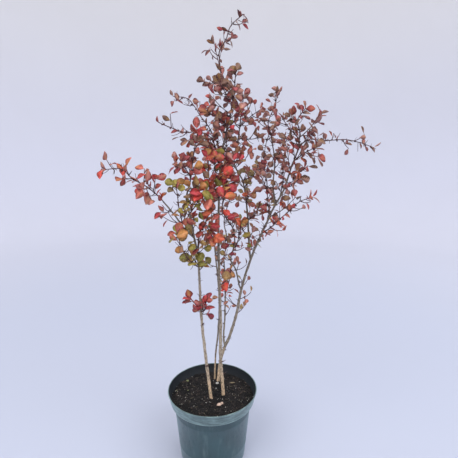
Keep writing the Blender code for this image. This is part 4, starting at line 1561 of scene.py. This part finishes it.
def grow_crown():
    limb_rooms = [room_tube(*limbs[name], 6, foot_planes[name]) for name in LIMBS]
    stems = {name: stem_line(name) for name in SPRAYS}
    sprays = {}
    done = []
    for number, name in enumerate(SPRAYS):
        stem, stem_room = stems[name]
        others = [room for other, (_, room) in stems.items() if other != name]
        sprays[name] = FinerSpray(
            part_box(f"foliage_{name}"), SHARE_OF[name], number, stem, stem_room,
            [tree_of(limb_rooms + others + done)], *SPRAYS[name][3:])
        sprays[name].grow()
        done.extend(sprays[name].solids)
    print(sum(len(spray.leaves) for spray in sprays.values()), "leaves where the packed ones are")
    for name, spray in sprays.items():
        rest = [solid for other, grown in sprays.items() if other != name for solid in grown.solids]
        spray.refine([tree_of(limb_rooms + rest)])
        spray.drop_bare_twigs()
    print(sum(len(spray.leaves) for spray in sprays.values()), "leaves with the finer growth")
    return sprays, limb_rooms


sprays, limb_rooms = grow_crown()

# %% [markdown]
# Between the sprays, a barberry also bears short spurs straight on its wood, a rosette at every node. The
# packed masses leave these out to stay light. The table says along which stretch of a limb or stem they sit
# and what they wear.

# %% Spurs: limb or spray, share where they begin and end, leaves on each, leaf length in millimetres, tints
SPURS = [
    ("cane_left", 0.37, 0.43, 5, 25, "claret"),
    ("cane_left", 0.56, 0.97, 5, 19, "meadow"),
    ("cane_centre", 0.58, 0.96, 5, 18, "wine"),
    ("cane_back", 0.62, 0.96, 2, 17, "harvest"),
    ("cane_right", 0.26, 0.42, 3, 13, "harvest"),
    ("cane_right", 0.72, 0.99, 4, 18, "rust"),
    ("cane_thin", 0.20, 0.95, 2, 17, "harvest"),
    ("bough_left_long", 0.30, 0.98, 3, 21, "ember"),
    ("left_tip", 0.08, 0.60, 4, 22, "ember"),
    ("bough_left_inner", 0.25, 0.95, 4, 18, "scarlet"),
    ("bough_middle", 0.10, 0.96, 5, 17, "harvest"),
    ("bough_middle", 0.50, 0.80, 6, 17, "harvest"),
    ("bough_front", 0.20, 0.95, 3, 17, "rose"),
    ("bough_right_tall", 0.30, 0.95, 3, 17, "wine"),
]
print(len(SPURS), "stretches of wood bear spurs")

# %% [markdown]
# A spur leaves its wood at a slant and rises a little. Several ends are tried, each turned on from the last,
# until one has room.

# %% Spur stems
SPUR_SPACING = 0.022
SPUR_LENGTH = (0.014, 0.030)
SPUR_LEAN = (40, 70)
SPUR_RISE = 0.35
SPUR_SAG = 0.08
SPUR_RADII = (0.8 * MM, 0.5 * MM)
SPUR_TRIES = 9


def line_of(name):
    return limbs[name] if name in limbs else sprays[name].stem


def spur_stem(start, tip, trees):
    """A short stem that curves up a little, and its room; None if it is blocked."""
    middle = start.lerp(tip, 0.5) - Vector((0, 0, (tip - start).length * SPUR_SAG))
    room = room_tube([start.lerp(middle, 0.5), middle, tip], [SPUR_RADII[0]] * 3, 3, middle - start)
    if not free_of(room, trees):
        return None
    return ([start, middle, tip], [SPUR_RADII[0], SPUR_RADII[0], SPUR_RADII[1]]), room


def spur_tips(line, share, turn, dice):
    """Ends to try for a spur at a share of a line, each turned on from the last."""
    start, way, radius = place_on(line, share)
    for k in range(SPUR_TRIES):
        out = turned_about(way, math.radians(dice.uniform(*SPUR_LEAN)), turn + k * GOLDEN)
        out = (out + Vector((0, 0, SPUR_RISE / 2))).normalized()
        yield start, start + out * (radius + dice.uniform(*SPUR_LENGTH))


# %% [markdown]
# Where the photograph shows a clump between two masses, a longer side shoot reaches for it. Each has its own
# end point, moved a few millimetres at random if something is in the way.

# %% Side shoots: limb or spray, share of its length, end point in millimetres, leaves, leaf length, tints
SIDE_SHOOTS = [
    ("cane_centre", 0.965, (8, -8, 748), 8, 17, "dusk"),
    ("cane_centre", 0.360, (27, -16, 350), 3, 24, "flame"),
    ("cane_centre", 0.850, (4, -14, 664), 9, 18, "wine"),
    ("cane_centre", 0.840, (28, -20, 664), 8, 17, "rose"),
    ("cane_centre", 0.770, (10, -16, 624), 7, 17, "wine"),
    ("bough_middle", 0.930, (73, 30, 668), 7, 16, "rust"),
    ("cane_right", 0.990, (178, -36, 634), 11, 17, "wine"),
    ("cane_right", 0.950, (160, -40, 614), 5, 17, "wine"),
    ("bough_middle", 0.660, (74, 38, 584), 9, 17, "harvest"),
    ("cane_centre", 0.660, (50, -12, 562), 15, 18, "rose"),
    ("bough_middle", 0.700, (28, 32, 568), 4, 17, "rust"),
    ("cane_left", 0.930, (-30, -48, 560), 13, 19, "rose"),
    ("left_tip", 0.300, (-104, -58, 514), 6, 23, "ember"),
    ("cane_right", 0.700, (150, 2, 498), 15, 18, "rose"),
    ("cane_right", 0.880, (126, -38, 582), 6, 17, "rust"),
    ("cane_right", 0.870, (170, -24, 562), 11, 18, "rust"),
    ("cane_left", 0.600, (-32, -46, 404), 8, 22, "meadow"),
    ("bough_left_inner", 0.400, (-10, -42, 462), 7, 20, "scarlet"),
    ("bough_middle", 0.050, (76, 26, 408), 8, 17, "harvest"),
]
AIM_SLIP = 5 * MM
print(len(SIDE_SHOOTS), "side shoots")


def shoot_tips(line, share, end, dice):
    start, _, _ = place_on(line, share)
    for k in range(SPUR_TRIES):
        slip = Vector([dice.uniform(-AIM_SLIP, AIM_SLIP) for _ in range(3)])
        yield start, Vector(end) * MM + slip * min(1, k)


# %% [markdown]
# A spur is a short spray, so the same class grows it. Side shoots come first, because their places matter
# most. A spur that finds no room isn't grown.

# %% Growing spurs and side shoots
FIRST_SPUR = 900


def grow_spurs():
    dice = random.Random(SEED * 77)
    rest = [solid for spray in sprays.values() for solid in spray.solids]
    wanted = [
        (shoot_tips(line_of(name), share, end, dice), *look) for name, share, end, *look in SIDE_SHOOTS]
    for name, low, high, *look in SPURS:
        count = max(2, round((high - low) * lengths_along(line_of(name)[0])[-1] / SPUR_SPACING))
        for k in range(count):
            share = low + (high - low) * (k + dice.uniform(0.2, 0.8)) / count
            wanted.append((spur_tips(line_of(name), share, k * GOLDEN, dice), *look))
    grown = {}
    for tips, *look in wanted:
        wood_and_leaves = [tree_of(rest)]
        stem = next(filter(None, (spur_stem(start, tip, wood_and_leaves) for start, tip in tips)), None)
        if stem:
            spur = Spray(FIRST_SPUR + len(grown), *stem, [tree_of(limb_rooms + rest)], *look)
            spur.freer = FREE_GAIN
            spur.grow()
            rest += spur.solids
            grown[f"spur_{len(grown)}"] = spur
    print(len(grown), "of", len(wanted), "spurs with", sum(len(s.leaves) for s in grown.values()), "leaves")
    return grown


spurs = grow_spurs()

# %% [markdown]
# Stems and twigs are drawn by the wood recipe too, with fewer sides. A young shoot isn't straight: it bends
# a little at each bud and curves up to the light, so each line gets a small sag in the middle and some
# wander, and starts inside the wood that carries it.

# %% Stems and twigs
TWIG_STEP = 0.0035
TWIG_BOW = 0.10
TWIG_WANDER, TWIG_WANDER_LENGTH, TWIG_EASE = 0.0004, 0.012, 0.01
TWIGS_APART = (1.7, 0.3)
BUD_SWELL, BUD_WIDTH = 0.25, 0.0015


def fine_line(points, radii, seed):
    """A line in small steps through points, with a little wander that is nothing at its ends."""
    line = smooth_path(points, (points[1] - points[0]).normalized(), TWIG_STEP)
    along = lengths_along(line)
    place = Vector((seed * TWIGS_APART[0], seed * TWIGS_APART[1], 0))
    for k, s in enumerate(along):
        ease = min(1, s / TWIG_EASE, (along[-1] - s) / TWIG_EASE)
        drift = noise.noise_vector(place + Vector((0, 0, s / TWIG_WANDER_LENGTH)))
        line[k] = line[k] + TWIG_WANDER * ease * drift
    return line, [radii[0] + (radii[1] - radii[0]) * s / along[-1] for s in along]


def stem_in_steps(start, spray, number):
    path, radii = spray.stem
    line, _ = fine_line([start, *path], STEM_RADII, number)
    along = lengths_along(line)
    away = [s % NODE_STEP - NODE_STEP / 2 for s in along]
    swell = [1 + BUD_SWELL * math.exp(-(off / BUD_WIDTH) ** 2) for off in away]
    taper = [radii[0] + (radii[-1] - radii[0]) * s / along[-1] for s in along]
    return line, [r * grown for r, grown in zip(taper, swell)]


def twig_in_steps(root, tip, radii, number):
    way = tip - root
    middle = root.lerp(tip, 0.5) - Vector((0, 0, 1)) * way.length * TWIG_BOW
    return fine_line([root, middle, tip], radii, number)


def all_shoots():
    lines = []
    for k, (name, spray) in enumerate({**sprays, **spurs}.items()):
        if name in sprays:
            bough, share = SPRAYS[name][:2]
            lines.append(stem_in_steps(place_on(limbs[bough], share)[0], spray, k))
        else:
            lines.append(fine_line(spray.stem[0], SPUR_RADII, k))
        lines += [twig_in_steps(*twig, 100 * k + n) for n, twig in enumerate(spray.twigs)]
    return [(*line, 0.0) for line in lines]


shoots = serve(
    "stems_and_twigs", wood, line_mesh("shoot_lines", all_shoots()),
    Sides=7, Groove=0.3, Length=0.004, Finish=bark_finish("shoot_bark"))
shoots.data.shade_smooth()
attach(shoots, "root")
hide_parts(*(f"foliage_{name}" for name in SPRAYS))

# %% [markdown]
# A barberry leaf is a small spoon: a narrow foot that widens to a round end, smooth at the edge, a little
# folded along the midrib and often curled or twisted. A flat card with a picture would be lighter, but it
# vanishes edge-on, so every leaf is a thin closed lens. Four outlines in three poses each make twelve kinds.

# %% Leaf outlines: share of the length, half width there; poses: curl, cup, twist
OUTLINES = {
    "spoon": [
        (0.03, 0.03), (0.12, 0.045), (0.28, 0.23), (0.46, 0.41), (0.65, 0.50), (0.82, 0.42), (0.94, 0.23)],
    "round": [
        (0.03, 0.03), (0.10, 0.06), (0.22, 0.32), (0.40, 0.47), (0.58, 0.50), (0.78, 0.42), (0.93, 0.23)],
    "almond": [
        (0.03, 0.03), (0.10, 0.05), (0.24, 0.27), (0.42, 0.46), (0.58, 0.50), (0.77, 0.38), (0.92, 0.17)],
    "ovate": [
        (0.03, 0.03), (0.09, 0.08), (0.20, 0.34), (0.36, 0.50), (0.56, 0.45), (0.77, 0.27), (0.92, 0.10)],
}
POSES = [(0.10, 0.13, 0.0), (-0.16, 0.20, 0.30), (0.28, 0.07, -0.35)]
BLADE_THICKNESS, TIP_THINNING = 0.022, 0.6
CUP_SLOPE = 1.6
CURL_SHORTENING = 0.3


def bent(across, along, lift, curl, cup, twist):
    """A point of the flat blade after the leaf curls along its length, cups and twists."""
    angle = twist * along
    height = lift + cup * abs(across) * CUP_SLOPE - curl * along * along
    turned_x = across * math.cos(angle) - height * math.sin(angle)
    turned_z = across * math.sin(angle) + height * math.cos(angle)
    return turned_x, along * (1 - CURL_SHORTENING * abs(curl) * along), turned_z


print(len(OUTLINES), "outlines in", len(POSES), "poses")

# %% [markdown]
# The blade is rows of four points: left edge, midrib above, right edge, midrib below. Each point also keeps
# where it lies on the flat blade, and each face whether it is on the underside, for the finish to use.


# %% Leaf prototypes
def leaf_blade(outline, pose):
    """One leaf, one unit long and one wide, with its foot at the origin, pointing along Y and facing Z."""
    shape = bmesh.new()
    blade = shape.verts.layers.float_vector.new("blade")
    under = shape.faces.layers.float.new("under")

    def vert(across, along, lift):
        made = shape.verts.new(bent(across, along, lift, *pose))
        made[blade] = (across, along, 0)
        return made

    half = BLADE_THICKNESS / 2
    foot, tip = vert(0, 0, 0), vert(0, 1, 0)
    rows = []
    for along, width in outline:
        thick = half * (1 - TIP_THINNING * along)
        corners = [(-width, 0), (0, thick), (width, 0), (0, -thick)]
        rows.append([vert(across, along, lift) for across, lift in corners])
    loops = []
    for low, high in zip(rows, rows[1:]):
        for n in range(4):
            m = (n + 1) % 4
            loops.append(((low[m], low[n], high[n], high[m]), n >= 2))
    for n in range(4):
        m = (n + 1) % 4
        loops.append(((foot, rows[0][n], rows[0][m]), n >= 2))
        loops.append(((tip, rows[-1][m], rows[-1][n]), n >= 2))
    for corners, is_under in loops:
        face = shape.faces.new(corners)
        face[under] = 1.0 if is_under else 0.0
        face.smooth = True
    bmesh.ops.recalc_face_normals(shape, faces=shape.faces)
    return shape


leaf_shapes = [leaf_blade(outline, pose) for outline in OUTLINES.values() for pose in POSES]
print(len(leaf_shapes), "leaf kinds of", len(leaf_shapes[0].faces), "faces")
leaf_kit = kit_of("leaf", leaf_shapes)

# %% [markdown]
# Autumn reaches the leaves unevenly, so the crown shows scarlet, wine, dusty rose, ochre and olive at once.
# Each tint is a finish of its own, so that it can be repainted alone. Within a leaf the blade is mottled,
# the midrib and the underside are paler and the rim is deeper, which the stored blade coordinates place.

# %% Leaf finishes
TINTS = {
    "scarlet": (srgb(230, 80, 68), "leaves_crimson"),
    "crimson": (srgb(208, 72, 78), "leaves_crimson"),
    "garnet": (srgb(160, 56, 64), "leaves_crimson"),
    "vermilion": (srgb(226, 108, 74), "leaves_orange"),
    "salmon": (srgb(222, 122, 104), "leaves_orange"),
    "amber": (srgb(208, 142, 84), "leaves_orange"),
    "burgundy": (srgb(166, 76, 78), "leaves_burgundy"),
    "plum": (srgb(116, 60, 66), "leaves_burgundy"),
    "brick": (srgb(192, 94, 84), "leaves_burgundy"),
    "dusty_rose": (srgb(194, 134, 124), "leaves_dusky"),
    "brown_rose": (srgb(170, 112, 104), "leaves_dusky"),
    "umber": (srgb(138, 102, 84), "leaves_dusky"),
    "olive": (srgb(158, 150, 70), "leaves_olive"),
    "gold_green": (srgb(196, 180, 88), "leaves_olive"),
    "ochre": (srgb(206, 162, 98), "leaves_olive"),
}
DEEPER, PALER = 0.58, 0.35
UNDER_PALE = srgb(198, 154, 140)
TURNING = srgb(168, 128, 62)


def leaf_finish(tint):
    colour, _ = TINTS[tint]
    finish, graph, shader = new_material(f"leaf_{tint}")
    deep = tuple(DEEPER * c for c in colour)
    pale = tuple(c + PALER * (1 - c) * 0.5 for c in colour)
    blade = shader_attribute(graph, "blade", "Vector")
    across = graph.math("ABSOLUTE", graph.add("ShaderNodeSeparateXYZ", sockets={0: blade}, out="X"))
    mottle = graph.noise(0.0055, detail=4.0)
    fine = graph.noise(0.0016, detail=3.0)
    tone = graph.mix(mottle.between(0.34, 0.6), deep, colour)
    tone = graph.mix(fine.between(0.55, 0.75) * 0.4, tone, pale)
    tone = graph.mix((1 - across.between(0.012, 0.04)) * 0.35, tone, pale)
    tone = graph.mix(across.between(0.36, 0.5) * 0.35, tone, deep)
    heart = (1 - across.between(0.05, 0.45)) * graph.noise(0.014, detail=2.0).between(0.48, 0.66)
    tone = graph.mix(heart * 0.55, tone, TURNING)
    tone = graph.mix(shader_attribute(graph, "under") * 0.38, tone, UNDER_PALE)
    relief = bumped(graph, fine + mottle, 0.0003, 0.5)
    connect(graph, shader, Base_Color=tone, Roughness=0.48 + 0.25 * fine, Normal=relief)
    connect(graph, shader, Specular_IOR_Level=0.35)
    return finish


print(len(TINTS), "tints in", len({slot for _, slot in TINTS.values()}), "slots")

# %% [markdown]
# Each mixture says which tints a spray wears, with the commoner ones written more than once. A leaf draws
# its tint from its spray's mixture, and its outline from its size: long leaves on strong shoots are round,
# and the small ones near the top are almond-shaped. The leaves of two mixtures are slimmer than the rest.

# %% Mixtures of tints, and families of outlines
MIXTURES = {
    "ember": ["brick", "vermilion", "crimson", "scarlet", "crimson", "salmon", "brick", "dusty_rose"],
    "meadow": ["olive", "gold_green", "ochre", "olive", "salmon", "brick", "gold_green", "amber", "umber"],
    "flame": ["vermilion", "scarlet", "brick", "crimson", "salmon", "garnet", "ochre", "amber"],
    "scarlet": [
        "scarlet", "crimson", "crimson", "vermilion", "brick", "salmon", "scarlet", "crimson", "amber",
        "olive"],
    "rose": ["crimson", "brick", "burgundy", "brown_rose", "brick", "dusty_rose", "garnet", "umber"],
    "wine": ["burgundy", "brick", "plum", "brown_rose", "burgundy", "umber", "garnet", "umber", "dusty_rose"],
    "dusk": ["plum", "plum", "burgundy", "umber", "plum", "garnet", "burgundy"],
    "claret": ["garnet", "garnet", "burgundy", "crimson", "brick"],
    "rust": ["brown_rose", "dusty_rose", "brick", "brick", "burgundy", "umber"],
    "harvest": [
        "ochre", "brick", "gold_green", "amber", "crimson", "dusty_rose", "olive", "salmon", "vermilion"],
}
SLIM = {"dusk": 0.64, "ember": 0.88}
ROUND_FROM, ALMOND_BELOW = 0.019, 0.0165
OUTLINES_OF = {
    "slim": ["almond", "ovate", "ovate"], "long": ["round", "round", "ovate"],
    "middle": ["spoon", "spoon", "almond"], "short": ["almond", "almond", "spoon"],
}


def build_of(length, slim):
    """Which family of outlines a leaf is drawn from."""
    if slim < 1:
        return "slim"
    if length > ROUND_FROM:
        return "long"
    return "short" if length < ALMOND_BELOW else "middle"


print(len(MIXTURES), "mixtures")

# %% [markdown]
# One recipe sets every leaf. Each point's attributes say which prototype, turned how, and how large.


# %% Leafing recipe
def leafing_recipe():
    graph, given = recipe(
        "leafing", Kit=("NodeSocketCollection", None), Finish=("NodeSocketMaterial", None))
    blades = graph.add("GeometryNodeCollectionInfo", sockets={
        "Collection": given["Kit"], "Separate Children": True, "Reset Children": True})
    copies = graph.add("GeometryNodeInstanceOnPoints", sockets={
        "Points": given["Geometry"], "Instance": blades, "Pick Instance": True,
        "Instance Index": attribute(graph, "kind", "INT"),
        "Rotation": attribute(graph, "turned", "QUATERNION"),
        "Scale": attribute(graph, "size", "FLOAT_VECTOR")})
    end_recipe(graph, copies, given["Finish"])
    return graph


leafing = leafing_recipe()
print("leafing recipe of", len(leafing.tree.nodes), "nodes")

# %% [markdown]
# The leaves are dealt out to the tints, because each tint becomes one piece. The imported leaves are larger
# than real ones, so their lengths are drawn in towards a mean, and a short leaf is also a narrow one.

# %% Dealing out the leaves
SHOWN_MEAN, SHOWN_SPREAD = 0.0160, 0.6
WIDTH_BASE, WIDTH_GAIN = 0.67, 30
WIDTH_VARIES, CURL_VARIES = (0.85, 1.08), (0.8, 1.2)


def facing(way, normal):
    """The rotation that lays a prototype along way with its face to normal."""
    across = way.cross(normal).normalized()
    return Matrix((across, way, across.cross(way))).transposed().to_quaternion()


def deal_leaves():
    """The leaves of every spray, dealt out to the tints: tint, then lists of places and of their looks."""
    dealt = {tint: {"places": [], "kind": [], "turned": [], "size": [], "sprays": set()} for tint in TINTS}
    for number, (name, spray) in enumerate({**sprays, **spurs}.items()):
        dice = random.Random(SEED * 500 + number)
        for root, way, normal, grown in spray.leaves:
            own = dealt[dice.choice(MIXTURES[spray.tints])]
            length = SHOWN_MEAN + SHOWN_SPREAD * (grown - SHOWN_MEAN)
            slim = SLIM.get(spray.tints, 1)
            family = list(OUTLINES).index(dice.choice(OUTLINES_OF[build_of(length, slim)]))
            width = slim * length * (WIDTH_BASE + WIDTH_GAIN * (length - LEAF_TYPICAL))
            width *= dice.uniform(*WIDTH_VARIES)
            own["places"].append(root)
            own["kind"].append(family * len(POSES) + dice.randrange(len(POSES)))
            own["turned"].append(facing(way, normal))
            own["size"].append((width, length, length * dice.uniform(*CURL_VARIES)))
            if name in sprays:
                own["sprays"].add(f"foliage_{name}")
    return dealt


def dress(name, dealt, kit, finish):
    base = point_mesh(
        f"{name}_places", dealt["places"], kind=("INT", dealt["kind"]),
        turned=("QUATERNION", dealt["turned"]), size=("FLOAT_VECTOR", dealt["size"]))
    return serve(name, leafing, base, Kit=kit, Finish=finish)


for tint, dealt in deal_leaves().items():
    leaves = dress(f"leaves_{tint}", dealt, leaf_kit, leaf_finish(tint))
    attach(leaves, "root")
    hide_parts(*sorted(dealt["sprays"]))
clear_kit(leaf_kit)

# %% [markdown]
# Under each rosette sits a thorn, straight and needle-thin, sometimes forked in three, and between the
# rosettes are pointed buds, single or in small fans. They tell a barberry from a privet up close. Each is a
# prototype again, one unit long.

# %% Shapes of thorns and buds
THORN_RADIUS, THORN_BEND = 0.075, 0.06
THORN_TAPER = ((0, 1.0), (0.4, 0.6), (0.75, 0.35))
THORN_FORK = (0, 1.1, -1.1)
SIDE_PRONG = 0.75
BUD_FAN = (-0.75, 0.0, 0.75)


def thorn(prongs):
    """A needle one unit long, or three from one foot, each a four-sided cone that curves a little."""
    shape = bmesh.new()
    for spread in prongs:
        turn = Matrix.Rotation(spread, 3, "Z")
        rings = []
        for along, share in THORN_TAPER:
            ring = []
            for n in range(4):
                angle = math.pi / 2 * n
                radius = THORN_RADIUS * share
                point = Vector((radius * math.cos(angle), along, radius * math.sin(angle)))
                rise = Vector((0, 0, THORN_BEND * along * along))
                ring.append(shape.verts.new(turn @ (point + rise)))
            rings.append(ring)
        tip = shape.verts.new(turn @ Vector((0, 1 if spread == 0 else SIDE_PRONG, THORN_BEND)))
        for low, high in zip(rings, rings[1:]):
            for n in range(4):
                shape.faces.new((low[n], low[(n + 1) % 4], high[(n + 1) % 4], high[n]))
        for n in range(4):
            shape.faces.new((rings[-1][n], rings[-1][(n + 1) % 4], tip))
        shape.faces.new(rings[0])
    bmesh.ops.recalc_face_normals(shape, faces=shape.faces)
    return shape


def bud(fan):
    """A pointed bud one unit long, or a few that open from one foot like a small fan."""
    shape = bmesh.new()
    for spread in fan:
        made = bmesh.ops.create_icosphere(shape, subdivisions=1, radius=0.5)["verts"]
        for vert in made:
            taper = 0.65 - 0.5 * vert.co.y
            place = Vector((vert.co.x * taper * 0.8, vert.co.y + 0.3, vert.co.z * taper * 0.8))
            vert.co = Matrix.Rotation(spread, 3, "Z") @ place
    return shape


thorn_shapes = [thorn([0]), thorn(THORN_FORK)]
bud_shapes = [bud([0]), bud(BUD_FAN)]
print("a thorn has", len(thorn_shapes[0].faces), "faces and a bud", len(bud_shapes[0].faces))

# %% [markdown]
# Both sit at the nodes, where the rosettes leave the wood. The leafing recipe places them too: all it needs
# is another kit and other points.

# %% Thorns and buds
LOWEST_NODE = 0.03
SUNK = 0.6
THORN_LENGTH, THORN_LEAN, THORN_SHARE = (0.007, 0.013), (60, 85), 0.75
BUD_LENGTH, BUD_LEAN, BUD_SHARE = (0.0030, 0.0058), (35, 60), 0.9


def node_places():
    """Every node on the limbs and stems: place, direction of the wood, radius there."""
    nodes = []
    for limb in limbs.values():
        count = int(lengths_along(limb[0])[-1] / NODE_SPACING)
        nodes += [place_on(limb, (k + 0.5) / count) for k in range(count)]
    for spray in sprays.values():
        count = nodes_on(spray.stem)
        nodes += [place_on(spray.stem, 1 - (k + 0.6) / count) for k in range(count)]
    return [node for node in nodes if node[0].z > SOIL_TOP + LOWEST_NODE]


def scatter_at_nodes(kinds, lengths, lean, share, seed):
    dice = random.Random(seed)
    dealt = {"places": [], "kind": [], "turned": [], "size": []}
    for place, way, radius in node_places():
        if dice.random() > share:
            continue
        out = turned_about(way, math.radians(dice.uniform(*lean)), dice.uniform(0, 2 * math.pi))
        size = dice.uniform(*lengths)
        dealt["places"].append(place + out * radius * SUNK)
        dealt["kind"].append(dice.randrange(kinds))
        dealt["turned"].append(facing(out, way.cross(out).cross(out) * -1))
        dealt["size"].append((size, size, size))
    return dealt


def dress_nodes(name, shapes, lengths, lean, share, seed, finish):
    kit = kit_of(name, shapes)
    piece = dress(name, scatter_at_nodes(len(shapes), lengths, lean, share, seed), kit, finish)
    clear_kit(kit)
    piece.data.shade_smooth()
    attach(piece, "root")


dress_nodes(
    "thorns", thorn_shapes, THORN_LENGTH, THORN_LEAN, THORN_SHARE, 77,
    speckled("thorn_brown", srgb(48, 34, 38), srgb(96, 66, 62), 0.003, 0.5))
dress_nodes(
    "buds", bud_shapes, BUD_LENGTH, BUD_LEAN, BUD_SHARE, 78,
    speckled("bud_brown", srgb(50, 32, 40), srgb(96, 56, 60), 0.001, 0.6))
